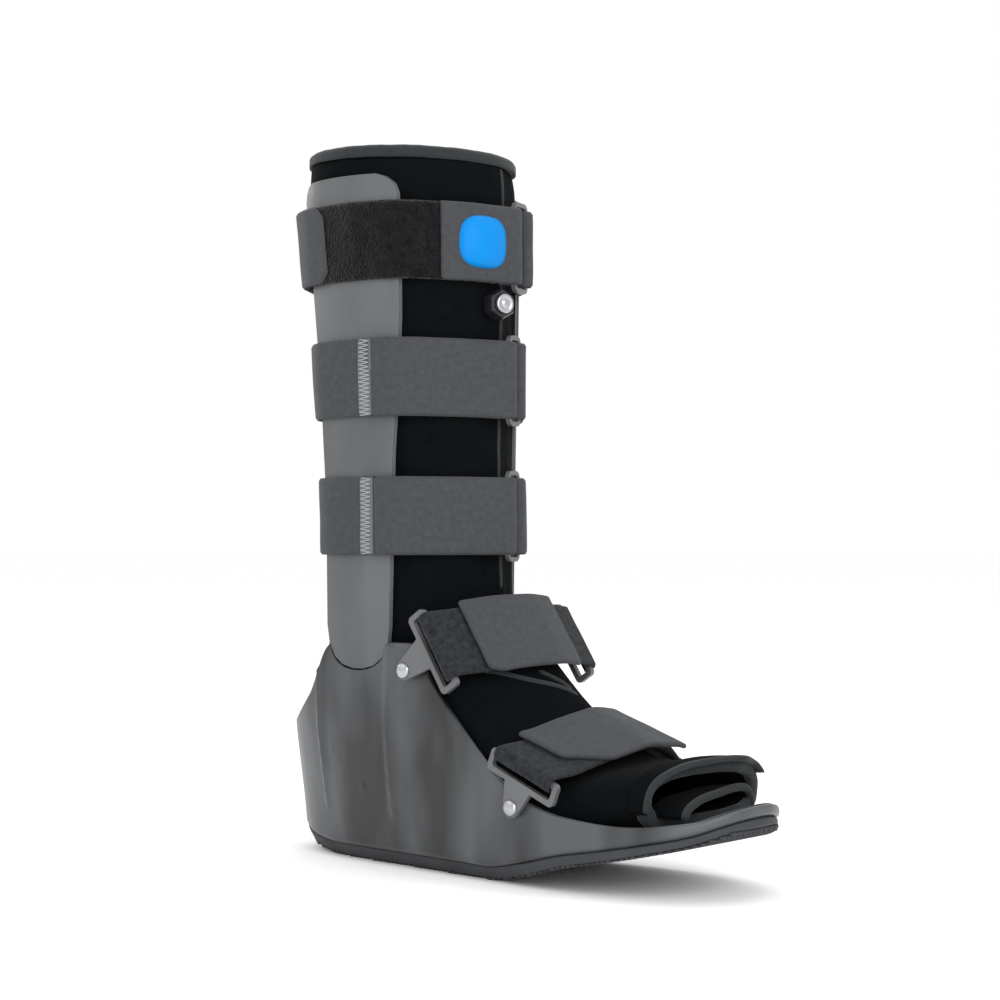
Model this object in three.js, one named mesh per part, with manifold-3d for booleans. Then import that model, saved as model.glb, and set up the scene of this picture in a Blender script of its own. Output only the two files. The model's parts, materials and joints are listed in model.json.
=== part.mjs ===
// Tall walking boot: a rocker-soled plastic shell with two side uprights, a padded liner and five straps.
// Units are millimetres. +X points to the toe, +Z up, and -Y is the boot's right side.
// The origin is on the floor, under the middle of the boot.
import * as THREE from "three";
import { mergeVertices } from "three/addons/utils/BufferGeometryUtils.js";
import Module from "manifold-3d";

const wasm = await Module();
wasm.setup();

// Overall sizes
const bootLength = 347;
const bootHeight = 436;
const toeSpring = 40;
const ballWidth = 116;
const ankleWidth = 120;
const ankleHeight = 135;

// Leg of the liner
const legDepth = 133;
const legWidth = 131;
const legAxis = -81.5;
const rimTilt = 0.04;

// Walls and clearances
const gap = 0.3;
const outsoleHeel = 9;
const outsoleToe = 5;
const soleEdgeRoll = 9;
const soleEdgeHeight = 15;
const shellWall = 3.6;
const shellFloor = 4;
const uprightWall = 3.2;
const uprightHeight = 0.953 * bootHeight;
const linerWall = 7;
const flapStep = 2.5;
const bindingHeight = 4;

// Straps and their rings
const strapWidth = 47;
const padWidth = 50;
const strapThickness = 2.2;
const padThickness = 3;
const barThickness = 2.8;
const ringSlack = 1.5;
const topStrapHeight = 0.8612 * bootHeight;
const midStrapHeight = 0.6732 * bootHeight;
const lowStrapHeight = 0.4828 * bootHeight;

// Shell rings, rivets, bulb and valve
const plateThickness = 3.4;
const slotWidth = 7;
const rivetDiameter = 5;
const rivetHead = 9.5;
const bulbWidth = 36;
const bulbHeight = 32;
const bulbRise = 5;
const valveAcrossFlats = 16.5;
const valveDepth = 9;
const buttonDiameter = 11.5;
const buttonProud = 3;
const buttonTravel = 1.5;

// Tread
const treadPitch = 11;
const treadDepth = 1.6;
const treadGroove = 3;

// Side profile of the sole's underside: shares of the boot's length from the heel, and of the toe spring
const rocker = [
  { along: 0, rise: 0.36 },
  { along: 0.049, rise: 0.16 },
  { along: 0.103, rise: 0.055 },
  { along: 0.172, rise: 0 },
  { along: 0.539, rise: 0 },
  { along: 0.623, rise: 0.12 },
  { along: 0.715, rise: 0.335 },
  { along: 0.795, rise: 0.475 },
  { along: 0.87, rise: 0.615 },
  { along: 0.939, rise: 0.765 },
  { along: 1, rise: 1 },
];

// Top edge of the shell's wall: shares of the boot's length from the heel, and of the ankle height
const shellEdge = [
  { along: 0, rise: 0.6 },
  { along: 0.051, rise: 0.62 },
  { along: 0.13, rise: 0.75 },
  { along: 0.19, rise: 0.975 },
  { along: 0.213, rise: 1 },
  { along: 0.392, rise: 1 },
  { along: 0.436, rise: 0.838 },
  { along: 0.496, rise: 0.667 },
  { along: 0.562, rise: 0.504 },
  { along: 0.597, rise: 0.434 },
  { along: 0.648, rise: 0.363 },
  { along: 0.722, rise: 0.316 },
  { along: 0.827, rise: 0.297 },
  { along: 0.949, rise: 0.33 },
  { along: 1, rise: 0.385 },
];

// Plan outline at the sole and at the ankle: shares of the length from the heel, and of half the width there
const solePlan = [
  { along: 0.017, across: 0 },
  { along: 0.037, across: 0.38 },
  { along: 0.095, across: 0.655 },
  { along: 0.19, across: 0.79 },
  { along: 0.33, across: 0.86 },
  { along: 0.5, across: 0.94 },
  { along: 0.65, across: 1 },
  { along: 0.79, across: 0.98 },
  { along: 0.9, across: 0.83 },
  { along: 0.972, across: 0.5 },
  { along: 1, across: 0 },
];
const anklePlan = [
  { along: 0, across: 0 },
  { along: 0.02, across: 0.45 },
  { along: 0.081, across: 0.77 },
  { along: 0.175, across: 0.95 },
  { along: 0.275, across: 1 },
  { along: 0.4, across: 0.945 },
  { along: 0.6, across: 0.935 },
  { along: 0.76, across: 0.94 },
  { along: 0.9, across: 0.79 },
  { along: 0.972, across: 0.48 },
  { along: 1, across: 0 },
];

// Leg sections: share of the height, centre as a share of the length, half sizes as shares of depth and width
const legRows = [
  { height: 0.0456, centre: -0.2809, depth: 0.436, width: 0.29, square: 2.4 },
  { height: 0.1367, centre: -0.2728, depth: 0.451, width: 0.351, square: 2.4 },
  { height: 0.2279, centre: -0.2525, depth: 0.444, width: 0.405, square: 2.3 },
  { height: 0.3201, centre: -0.2322, depth: 0.421, width: 0.422, square: 2.3 },
  { height: 0.4776, centre: -0.2352, depth: 0.417, width: 0.424, square: 2.3 },
  { height: 0.5707, centre: -0.2403, depth: 0.429, width: 0.431, square: 2.2 },
  { height: 0.6669, centre: -0.2464, depth: 0.447, width: 0.439, square: 2.15 },
  { height: 0.7531, centre: -0.2494, depth: 0.462, width: 0.454, square: 2.1 },
  { height: 0.8512, centre: -0.2535, depth: 0.481, width: 0.473, square: 2 },
  { height: 0.945, centre: -0.257, depth: 0.5, width: 0.5, square: 2 },
  { height: 1, centre: -0.2606, depth: 0.484, width: 0.484, square: 2 },
];

// Foot sections: shares of the length, of half the ball width, and of the ankle height; tilt raises the left side
const footRows = [
  { along: 0.036, width: 0.3, top: 0.5, square: 2.2, tilt: 0 },
  { along: 0.081, width: 0.6, top: 0.7, square: 2.4, tilt: 0 },
  { along: 0.172, width: 0.76, top: 0.85, square: 2.6, tilt: 0 },
  { along: 0.325, width: 0.86, top: 1.05, square: 2.6, tilt: 0 },
  { along: 0.426, width: 0.88, top: 1.16, square: 2.5, tilt: 0.02 },
  { along: 0.497, width: 0.885, top: 0.96, square: 2.5, tilt: 0.05 },
  { along: 0.538, width: 0.89, top: 0.82, square: 2.7, tilt: 0.1 },
  { along: 0.58, width: 0.895, top: 0.68, square: 3, tilt: 0.15 },
  { along: 0.629, width: 0.89, top: 0.565, square: 3.2, tilt: 0.16 },
  { along: 0.71, width: 0.86, top: 0.49, square: 3.2, tilt: 0.12 },
  { along: 0.801, width: 0.79, top: 0.51, square: 3, tilt: 0.06 },
  { along: 0.872, width: 0.72, top: 0.545, square: 2.8, tilt: 0.03 },
  { along: 0.943, width: 0.62, top: 0.56, square: 2.6, tilt: 0 },
];

// Plan line of the liner's toe opening: shares of the length, and of half the ball width, right to left
const toeLine = [
  { along: 0.842, across: -1.1 },
  { along: 0.857, across: -0.6 },
  { along: 0.882, across: -0.2 },
  { along: 0.918, across: 0.3 },
  { along: 0.908, across: 1.1 },
];

// Uprights: share of the height, and how far they reach behind and before the leg's axis as shares of its depth
const uprightRows = [
  { height: 0.2708, rear: 0.03, front: 0.03 },
  { height: 0.276, rear: 0.1, front: 0.1 },
  { height: 0.2869, rear: 0.15, front: 0.15 },
  { height: 0.3062, rear: 0.187, front: 0.187 },
  { height: 0.3309, rear: 0.203, front: 0.195 },
  { height: 0.4221, rear: 0.203, front: 0.197 },
  { height: 0.5707, rear: 0.226, front: 0.21 },
  { height: 0.7531, rear: 0.278, front: 0.238 },
  { height: 0.9245, rear: 0.323, front: 0.24 },
  { height: 0.9375, rear: 0.31, front: 0.226 },
  { height: 0.947, rear: 0.285, front: 0.19 },
  { height: 0.9512, rear: 0.25, front: 0.15 },
];

// How flat an upright's section is: its bend radius as a share of half the leg's width
const uprightBend = [
  { height: 0.2675, radius: 3 },
  { height: 0.4261, radius: 3 },
  { height: 0.5707, radius: 2 },
  { height: 0.7531, radius: 1.35 },
  { height: 0.9512, radius: 1.09 },
];

const ringPoints = 30;
const legPoints = 26;
const innerPoints = 16;
const degree = Math.PI / 180;
const pathStep = 8 * degree;

// A smooth line through a table's rows that never overshoots them.
function smooth(rows, key, by) {
  const steps = rows.slice(1).map((row, k) => (row[by] - rows[k][by]) / (row[key] - rows[k][key]));
  const slopes = rows.map((row, k) => {
    if (k === 0) return steps[0];
    if (k === rows.length - 1) return steps[k - 1];
    if (steps[k - 1] * steps[k] <= 0) return 0;
    return (2 * steps[k - 1] * steps[k]) / (steps[k - 1] + steps[k]);
  });
  return (at) => {
    const last = rows.length - 2;
    const found = rows.findIndex((row) => row[key] > at) - 1;
    const k = found < -1 ? last : Math.min(Math.max(found, 0), last);
    const span = rows[k + 1][key] - rows[k][key];
    const t = Math.min(Math.max((at - rows[k][key]) / span, 0), 1);
    const rise = rows[k + 1][by] - rows[k][by];
    const bend = slopes[k] * (1 - t) - slopes[k + 1] * t;
    const shift = (1 - t) * rise - t * rise;
    return rows[k][by] + rise * t + t * (1 - t) * (bend * span - shift);
  };
}

// A body from points and triangles, turned so that its faces point outwards.
function bodyOf(points, triangles) {
  const vertProperties = new Float32Array(points.flatMap((p) => [p.x, p.y, p.z]));
  const make = (corners) =>
    new wasm.Manifold(new wasm.Mesh({ numProp: 3, vertProperties, triVerts: new Uint32Array(corners.flat()) }));
  const body = make(triangles);
  return body.volume() > 0 ? body : make(triangles.map(([a, b, c]) => [a, c, b]));
}

const turn = (a, b, c) => (b.x - a.x) * (c.y - a.y) - (b.y - a.y) * (c.x - a.x);

// A closed body through rings with the same number of points. flat gives a ring's points in its own plane.
function loft(rings, flat) {
  const count = rings[0].length;
  const triangles = [];
  for (let r = 0; r < rings.length - 1; r++)
    for (let k = 0; k < count; k++) {
      const next = (k + 1) % count;
      const low = r * count;
      const high = low + count;
      triangles.push([low + k, low + next, high + next], [low + k, high + next, high + k]);
    }
  for (const r of [0, rings.length - 1]) {
    const corners = rings[r].map((p) => new THREE.Vector2(...flat(p)));
    const ringSide = Math.sign(THREE.ShapeUtils.area(corners));
    const wanted = r === 0 ? -ringSide : ringSide;
    for (const [a, b, c] of THREE.ShapeUtils.triangulateShape(corners, [])) {
      const same = Math.sign(turn(corners[a], corners[b], corners[c])) === wanted;
      const first = r * count;
      triangles.push(same ? [first + a, first + b, first + c] : [first + a, first + c, first + b]);
    }
  }
  return bodyOf(rings.flat(), triangles);
}

// A closed loop of equal sections, such as a binding round a rim.
function hoop(sections) {
  const count = sections[0].length;
  const triangles = [];
  sections.forEach((section, s) => {
    const low = s * count;
    const high = ((s + 1) % sections.length) * count;
    for (let k = 0; k < count; k++) {
      const next = (k + 1) % count;
      triangles.push([low + k, low + next, high + next], [low + k, high + next, high + k]);
    }
  });
  return bodyOf(sections.flat(), triangles);
}

// A body from one of three.js's closed geometries.
function bodyFrom(geometry, matrix = new THREE.Matrix4()) {
  const plain = geometry.clone().applyMatrix4(matrix);
  plain.deleteAttribute("normal");
  plain.deleteAttribute("uv");
  const merged = mergeVertices(plain, 1e-4);
  return new wasm.Manifold(
    new wasm.Mesh({
      numProp: 3,
      vertProperties: new Float32Array(merged.attributes.position.array),
      triVerts: new Uint32Array(merged.index.array),
    }),
  );
}

const point = (x, y, z) => new THREE.Vector3(x, y, z);
const onPlan = (p) => [p.x, p.y];
const onSide = (p) => [p.x, p.z];
const onFront = (p) => [p.y, p.z];
const mix = THREE.MathUtils.lerp;

// A slab across the boot whose side view is the outline given.
const sideways = (outline, halfWidth = ankleWidth) =>
  loft([-halfWidth, halfWidth].map((y) => outline.map(([x, z]) => point(x, y, z))), onSide);

const lengthAt = (along) => (along - 0.5) * bootLength;
const alongAt = (x) => x / bootLength + 0.5;

const rockerAt = smooth(rocker, "along", "rise");
const edgeAt = smooth(shellEdge, "along", "rise");
const soleBottom = (x) => rockerAt(alongAt(x)) * toeSpring;
const seamHeight = (x) => soleBottom(x) + mix(outsoleHeel, outsoleToe, Math.max(alongAt(x) * 2 - 1, 0));
const floorTop = (x) => seamHeight(x) + gap + shellFloor;

// Stations along the boot for its side curves
const stations = Array.from({ length: 25 }, (_, k) => lengthAt(-0.02 + (1.04 * k) / 24));

// The shell's plan outline at a height, moved inwards by a wall.
function planRing(z, inset, count = ringPoints) {
  const blend = THREE.MathUtils.smoothstep(z, 0, ankleHeight * 0.75);
  const corners = solePlan.map((row, k) => {
    const high = anklePlan[k];
    const x = lengthAt(mix(row.along, high.along, blend));
    const y = mix((row.across * ballWidth) / 2, (high.across * ankleWidth) / 2, blend);
    return point(x, y, 0);
  });
  const mirrored = corners.slice(1, -1).reverse().map((p) => point(p.x, -p.y, 0));
  const curve = new THREE.CatmullRomCurve3([...corners, ...mirrored], true);
  const ring = Array.from({ length: count }, (_, k) => curve.getPoint(k / count));
  return ring.map((p, k) => {
    const before = ring[(k + count - 1) % count];
    const after = ring[(k + 1) % count];
    const along = after.clone().sub(before).normalize();
    return point(p.x + along.y * inset * sideOf(ring), p.y - along.x * inset * sideOf(ring), z);
  });
}

// -1 for a ring that runs clockwise seen from above, so that a positive inset always goes inwards.
const sideOf = (ring) => -Math.sign(THREE.ShapeUtils.area(ring.map((p) => new THREE.Vector2(p.x, p.y))));

// The sole's lower edge is rolled under, more the nearer it is to the floor.
const soleRoll = (z) => soleEdgeRoll * Math.max(1 - Math.max(z, 0) / soleEdgeHeight, 0) ** 1.6;
const planLevels = [-1, soleEdgeHeight * 0.25, soleEdgeHeight * 0.6, soleEdgeHeight, 0.3, 0.5, 0.75, 1.6].map(
  (level) => (level > 0 && level < 2 ? level * ankleHeight : level),
);
const planBody = (inset) => loft(planLevels.map((z) => planRing(z, inset + soleRoll(z))), onPlan);

// The leg's section at a height, grown by an offset, at an angle from the toe direction.
const legCentre = smooth(legRows, "height", "centre");
const legHalfDepth = smooth(legRows, "height", "depth");
const legHalfWidth = smooth(legRows, "height", "width");
const legSquare = smooth(legRows, "height", "square");
function legAt(z) {
  const share = z / bootHeight;
  return {
    centre: legCentre(share) * bootLength,
    depth: legHalfDepth(share) * legDepth,
    width: legHalfWidth(share) * legWidth,
    square: legSquare(share),
  };
}
const rounded = (value, square) => Math.sign(value) * Math.abs(value) ** (2 / square);

// The near flap of the liner ends just past the middle of the front, and the far one lies a step lower.
const flapEdge = 12 * degree;
const flapEnd = 40 * degree;
function flapDrop(angle) {
  if (angle < flapEdge || angle > flapEnd * 1.6) return 0;
  return angle < flapEnd ? flapStep : flapStep * (1 - (angle - flapEnd) / (flapEnd * 0.6));
}
function legRing(z, offset, stepped = false) {
  const { centre, depth, width, square } = legAt(z);
  const count = offset < 0 ? innerPoints : legPoints;
  const angles = Array.from({ length: count }, (_, k) => ((k + 0.5) / count) * 2 * Math.PI);
  if (stepped) {
    const near = angles.findIndex((angle) => angle > flapEdge);
    angles[near - 1] = flapEdge - 0.002;
    angles[near] = flapEdge + 0.02;
  }
  return angles.map((angle) => {
    const grown = offset - (stepped ? flapDrop(angle) : 0);
    const x = centre + (depth + grown) * rounded(Math.cos(angle), square);
    return point(x, (width + grown) * rounded(Math.sin(angle), square), z);
  });
}

const splitHeight = ankleHeight * 1.12;
const rimHeight = (x) => bootHeight - bindingHeight - gap - (x - legAt(bootHeight).centre) * rimTilt;
const legLevels = legRows.map((row) => row.height * bootHeight);

// The foot's sections, each a rounded loop in a plane across the boot.
const footWidth = smooth(footRows, "along", "width");
const footTop = smooth(footRows, "along", "top");
const footSquare = smooth(footRows, "along", "square");
const footTilt = smooth(footRows, "along", "tilt");
function footRing(along, offset) {
  const x = lengthAt(along);
  const half = (footWidth(along) * ballWidth) / 2 + offset;
  const top = footTop(along) * ankleHeight + offset;
  const bottom = floorTop(x) + gap - offset;
  const square = footSquare(along);
  const count = offset < 0 ? innerPoints : legPoints;
  return Array.from({ length: count }, (_, k) => {
    const angle = ((k + 0.5) / count) * 2 * Math.PI;
    const y = half * rounded(Math.cos(angle), square);
    const share = (1 + rounded(Math.sin(angle), square)) / 2;
    return point(x, y, mix(bottom, top + footTilt(along) * y, share));
  });
}
const footBody = (offset, stretch = 0) => {
  const rows = footRows.map((row) => row.along);
  rows[0] -= stretch;
  rows[rows.length - 1] += Math.abs(stretch);
  return loft(rows.map((along) => footRing(along, offset)), onFront);
};

const block = (x0, x1, y0, y1, z0, z1) =>
  bodyFrom(new THREE.BoxGeometry(x1 - x0, y1 - y0, z1 - z0).translate((x0 + x1) / 2, (y0 + y1) / 2, (z0 + z1) / 2));
const farAway = bootHeight * 2;

function makeOutsole() {
  const top = [...stations].reverse().map((x) => [x, seamHeight(x)]);
  const bottom = [];
  const first = lengthAt(-0.02);
  for (let x = first; x < lengthAt(1.02) - treadPitch; x += treadPitch) {
    const groove = x + treadPitch - treadGroove;
    bottom.push([x, soleBottom(x)]);
    bottom.push([groove, soleBottom(groove)]);
    bottom.push([groove + treadGroove * 0.2, soleBottom(groove) + treadDepth]);
    bottom.push([groove + treadGroove * 0.8, soleBottom(x + treadPitch) + treadDepth]);
  }
  bottom.push([lengthAt(1.02), soleBottom(lengthAt(1.02))]);
  return planBody(shellWall / 4).intersect(sideways([...bottom, ...top]));
}

// Where the upright stands, seen from the side: rear edge up, then front edge down.
const rearShare = smooth(uprightRows, "height", "rear");
const frontShare = smooth(uprightRows, "height", "front");
const uprightShares = uprightRows.flatMap(({ height }, k) => {
  const next = uprightRows[k + 1]?.height ?? height;
  return next - height > 0.07 ? [height, (height + next) / 2] : [height];
});
const uprightScale = uprightHeight / (uprightRows.at(-1).height * bootHeight);
const uprightReach = uprightShares.map((share) => ({
  z: share * bootHeight * uprightScale,
  rear: legAxis - rearShare(share) * legDepth,
  front: legAxis + frontShare(share) * legDepth,
}));
const bendAt = smooth(uprightBend, "height", "radius");

// Distance of an upright's face from the boot's middle plane, at a length and height.
function uprightFace(x, z, offset) {
  const leg = legAt(z);
  const radius = (bendAt(z / bootHeight) * legWidth) / 2 + offset;
  const away = x - leg.centre;
  return leg.width + gap + offset - (radius - Math.sqrt(radius * radius - away * away));
}

function makeUpright(side) {
  const across = 7;
  const rings = uprightReach.map(({ z, rear, front }) => {
    const lengths = Array.from({ length: across + 1 }, (_, k) => mix(rear, front, k / across));
    const inner = lengths.map((x) => point(x, side * uprightFace(x, z, 0), z));
    const outer = lengths.map((x) => point(x, side * uprightFace(x, z, uprightWall), z));
    return [...inner, ...outer.reverse()];
  });
  return loft(rings, onPlan);
}

// The notch that an upright's foot stands in, a clearance wider all round.
function notchOutline() {
  const low = uprightReach.filter(({ z }) => z < ankleHeight * 1.1);
  const rear = low.map(({ z, rear: x }) => [x - gap * 2, z - gap * 2]);
  const front = low.map(({ z, front: x }) => [x + gap * 2, z - gap * 2]);
  const top = ankleHeight * 1.3;
  const open = [[front.at(-1)[0], top], [rear.at(-1)[0], top]];
  return [...front, ...open, ...rear.reverse()];
}

// Rivets and slots of the two pairs of strap rings, seen from the side
const ankleRing = {
  rivet: [lengthAt(0.392), ankleHeight * 0.882],
  slot: [lengthAt(0.459), ankleHeight * 0.972],
  lean: -56.6 * degree,
};
const toeRing = {
  rivet: [lengthAt(0.625), ankleHeight * 0.334],
  slot: [lengthAt(0.649), ankleHeight * 0.468],
  lean: -22.2 * degree,
};

const acrossPin = (radius, x, z, halfLength, segments = 14) => {
  const pin = new THREE.CylinderGeometry(radius, radius, halfLength * 2, segments);
  return bodyFrom(pin.translate(x, 0, z));
};

function ribBlocks() {
  const low = ankleHeight * 0.2;
  const rib = (along, width) => block(lengthAt(along), lengthAt(along) + width, -farAway, farAway, low, farAway);
  return rib(0.331, 8).add(rib(0.158, 2.2));
}

function makeShell() {
  const floorLine = stations.map((x) => [x, floorTop(x)]);
  const cavity = sideways([...floorLine, [lengthAt(1.02), farAway], [lengthAt(-0.02), farAway]]);
  const bottom = stations.map((x) => [x, seamHeight(x) + gap]);
  const topRows = shellEdge.map((row) => row.along).concat([1.02]);
  const fine = topRows.flatMap((along, k) => (k ? [(along + topRows[k - 1]) / 2, along] : [-0.02, along]));
  const top = fine.reverse().map((along) => [lengthAt(along), edgeAt(along) * ankleHeight]);
  const profile = sideways([...bottom, ...top]);
  const outer = planBody(0);
  const inner = planBody(shellWall).intersect(cavity);
  const ribs = planBody(-1.4).intersect(ribBlocks()).intersect(profile);
  let shell = outer.intersect(profile).add(ribs).subtract(inner);
  shell = shell.subtract(sideways(notchOutline()));
  for (const { rivet } of [ankleRing, toeRing])
    shell = shell.subtract(acrossPin(rivetDiameter / 2 + gap, rivet[0], rivet[1], ankleWidth));
  return shell;
}

// Everything inside the shell's walls, less a clearance, with open sky above.
function shellRoom(inset) {
  const floorLine = stations.map((x) => [x, floorTop(x) + inset]);
  const sky = sideways([...floorLine, [lengthAt(1.02), farAway], [lengthAt(-0.02), farAway]]);
  return planBody(shellWall + inset).intersect(sky);
}

const below = (z) => block(-farAway, farAway, -farAway, farAway, -farAway, z);

function legBody(offset, stepped) {
  return loft(legLevels.map((z) => legRing(z, offset, stepped)), onPlan);
}

function makeLinerFoot() {
  const outer = footBody(0).add(legBody(0, false)).intersect(shellRoom(gap)).intersect(below(splitHeight));
  const inner = footBody(-linerWall, 0.02).add(legBody(-linerWall, false));
  const mouth = toeLine.map(({ along, across }) => [lengthAt(along), (across * ballWidth) / 2]);
  const corners = [...mouth, [farAway, ballWidth], [farAway, -ballWidth]];
  const cut = loft([-farAway, farAway].map((z) => corners.map(([x, y]) => point(x, y, z))), onPlan);
  return outer.subtract(inner).subtract(cut);
}

function makeLinerLeg() {
  const half = legDepth;
  const x = legAt(bootHeight).centre;
  const crest = [[x - half, rimHeight(x - half)], [x + half, rimHeight(x + half)]];
  const outline = [...crest, [x + half, splitHeight + gap], [x - half, splitHeight + gap]];
  const rings = (offset, stepped) =>
    loft([...legLevels, bootHeight * 1.04].map((z) => legRing(z, offset, stepped)), onPlan);
  return rings(0, true).subtract(rings(-linerWall, false)).intersect(sideways(outline));
}

function makeTopBinding() {
  const sections = Array.from({ length: legPoints }, (_, k) => {
    const { centre, depth, width } = legAt(bootHeight);
    const angle = ((k + 0.5) / legPoints) * 2 * Math.PI;
    const ring = (offset, lift) => {
      const x = centre + (depth + offset) * Math.cos(angle);
      return point(x, (width + offset) * Math.sin(angle), rimHeight(x) + gap + lift);
    };
    const low = [ring(1, 0), ring(1, bindingHeight * 0.6)];
    return [...low, ring(-1.5, bindingHeight), ring(1.5 - linerWall, bindingHeight), ring(-linerWall, 0)];
  });
  return hoop(sections);
}

// The taut line round the leg and both uprights at a height, as a reach from the leg's centre by angle.
function tautReach(z) {
  const leg = legAt(z);
  const reachAt = smooth(uprightReach, "z", "rear");
  const frontAt = smooth(uprightReach, "z", "front");
  const corners = legRing(z, 0);
  for (const side of [-1, 1])
    for (const share of [0, 0.25, 0.5, 0.75, 1]) {
      const x = mix(reachAt(z), frontAt(z), share);
      corners.push(point(x, side * uprightFace(x, z, uprightWall), z));
    }
  corners.sort((a, b) => a.x - b.x || a.y - b.y);
  const half = (list) => {
    const kept = [];
    for (const p of list) {
      while (kept.length > 1 && turn(kept.at(-2), kept.at(-1), p) <= 0) kept.pop();
      kept.push(p);
    }
    return kept.slice(0, -1);
  };
  const hull = [...half(corners), ...half([...corners].reverse())];
  const reachOf = (angle) => {
    const out = point(Math.cos(angle), Math.sin(angle), 0);
    let reach = 0;
    hull.forEach((a, k) => {
      const b = hull[(k + 1) % hull.length];
      const edge = point(b.x - a.x, b.y - a.y, 0);
      const cross = out.x * edge.y - out.y * edge.x;
      if (Math.abs(cross) < 1e-9) return;
      const from = point(a.x - leg.centre, a.y, 0);
      const share = (from.x * out.y - from.y * out.x) / cross;
      const far = (from.x * edge.y - from.y * edge.x) / cross;
      if (share >= -1e-6 && share <= 1 + 1e-6 && far > reach) reach = far;
    });
    return reach;
  };
  return (angle) => Math.max(...[-0.9, -0.6, -0.3, 0, 0.3, 0.6, 0.9].map((share) => reachOf(angle + share * pathStep)));
}

// A flat ribbon's outline from its centre line.
function ribbonOutline(path, thickness) {
  const sides = [1, -1].map((side) =>
    path.map((p, k) => {
      const before = path[Math.max(k - 1, 0)];
      const after = path[Math.min(k + 1, path.length - 1)];
      const along = after.clone().sub(before).normalize();
      const half = (side * thickness) / 2;
      return point(p.x - along.y * half, p.y + along.x * half, p.z);
    }),
  );
  return [...sides[0], ...sides[1].reverse()];
}

const foldRadius = barThickness * 0.9 + gap + strapThickness / 2;
const strapSeat = 0.6;
const layerGap = 0.45;
const bandOffset = strapSeat + strapThickness / 2;
const barOffset = bandOffset + foldRadius;

// Points along the leg's taut line between two angles, at an offset that may change from start to end.
function alongLeg(z, from, to, offset) {
  const reach = tautReach(z);
  const { centre } = legAt(z);
  const low = Math.floor(Math.min(from, to) / pathStep) + 1;
  const high = Math.ceil(Math.max(from, to) / pathStep) - 1;
  const between = Array.from({ length: high - low + 1 }, (_, k) => (low + k) * pathStep);
  const clear = between.filter((angle) => Math.min(Math.abs(angle - from), Math.abs(angle - to)) > pathStep / 4);
  if (from > to) clear.reverse();
  return [from, ...clear, to].map((angle) => {
    const far = reach(angle) + offset((angle - from) / (to - from));
    return point(centre + far * Math.cos(angle), far * Math.sin(angle), z);
  });
}

// A ring's place on its strap: its two bars stand upright, level with the strap's middle.
function ringBars(middle, ring) {
  const leg = legAt(middle);
  const barSpread = (ring.reach - barThickness) / 2;
  const out = point(Math.cos(ring.angle), Math.sin(ring.angle), 0);
  const across = point(-Math.sin(ring.angle), Math.cos(ring.angle), 0);
  const reach = tautReach(middle + strapWidth / 2)(ring.angle) + barOffset;
  const centre = point(leg.centre, 0, 0).addScaledVector(out, reach);
  const bar = (spread) => centre.clone().addScaledVector(across, spread);
  const angleOf = (p) => Math.atan2(p.y, p.x - leg.centre);
  const front = bar(-barSpread);
  const rear = bar(barSpread);
  const before = angleOf(bar(-barSpread - foldRadius));
  const behind = angleOf(bar(barSpread + foldRadius));
  return { out, across, centre, front, rear, before, behind };
}

// A fold of the strap round a ring's bar, half a turn from the outside to the inside.
function foldRound(z, bars, bar, towards) {
  return [-25, 12, 50, 90, 130, 168, 195].map((degrees) => {
    const turned = degrees * degree;
    const fold = bar.clone().addScaledVector(bars.out, Math.cos(turned) * foldRadius);
    fold.addScaledVector(bars.across, Math.sin(turned) * foldRadius * towards);
    return point(fold.x, fold.y, z);
  });
}

const bandLevels = (middle) => [middle - strapWidth / 2, middle + strapWidth / 2];
const band = (middle, pathAt) =>
  loft(bandLevels(middle).map((z) => ribbonOutline(pathAt(z), strapThickness)), onPlan);

const lapOffset = bandOffset + strapThickness + layerGap;
const outerOffset = bandOffset + 2 * foldRadius;
const liftNear = (share) => mix(lapOffset, outerOffset, THREE.MathUtils.smoothstep(share, 0.72, 1));

// A leg strap: its free end laps back over the front, folds round the ring's front bar, runs round the
// near side and the back of the leg, and ends in a sewn loop round the ring's rear bar.
function legStrap(middle, ring, lapEnd) {
  const bars = ringBars(middle, ring);
  return band(middle, (z) => {
    const lap = alongLeg(z, lapEnd, bars.before, liftNear);
    const round = alongLeg(z, bars.before, bars.behind - 2 * Math.PI, () => bandOffset);
    const back = sewnEnd(z, bars.behind);
    return [...lap, ...foldRound(z, bars, bars.front, 1), ...round, ...rearFold(z, bars), ...back];
  });
}
const rearFold = (z, bars) => foldRound(z, bars, bars.rear, -1).reverse();
const sewnEnd = (z, from) => alongLeg(z, from, from + 9 * degree, (share) => mix(outerOffset, lapOffset, share));

// The grey back part of the top strap: a tab on the near side, round the back, to the ring's rear bar.
function topStrapBack(middle, ring, tabEnd) {
  const bars = ringBars(middle, ring);
  return band(middle, (z) => {
    const step = (share) => mix(lapOffset, bandOffset, THREE.MathUtils.smoothstep(share, 0.2, 0.34));
    const round = alongLeg(z, tabEnd, bars.behind - 2 * Math.PI, step);
    return [...round, ...rearFold(z, bars), ...sewnEnd(z, bars.behind)];
  });
}

function topStrapPile(middle, from, to) {
  return band(middle, (z) => alongLeg(z, from, to, () => bandOffset));
}

const bulbAngle = -9.5 * degree;
const bulbLift = 0.6;
function outwardsFrame(z, angle, offset) {
  const far = tautReach(z)(angle) + offset;
  const out = point(Math.cos(angle), Math.sin(angle), 0);
  const across = point(-Math.sin(angle), Math.cos(angle), 0);
  const place = point(legAt(z).centre + far * out.x, far * out.y, z);
  return new THREE.Matrix4().makeBasis(across, point(0, 0, 1), out).setPosition(place);
}

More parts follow.
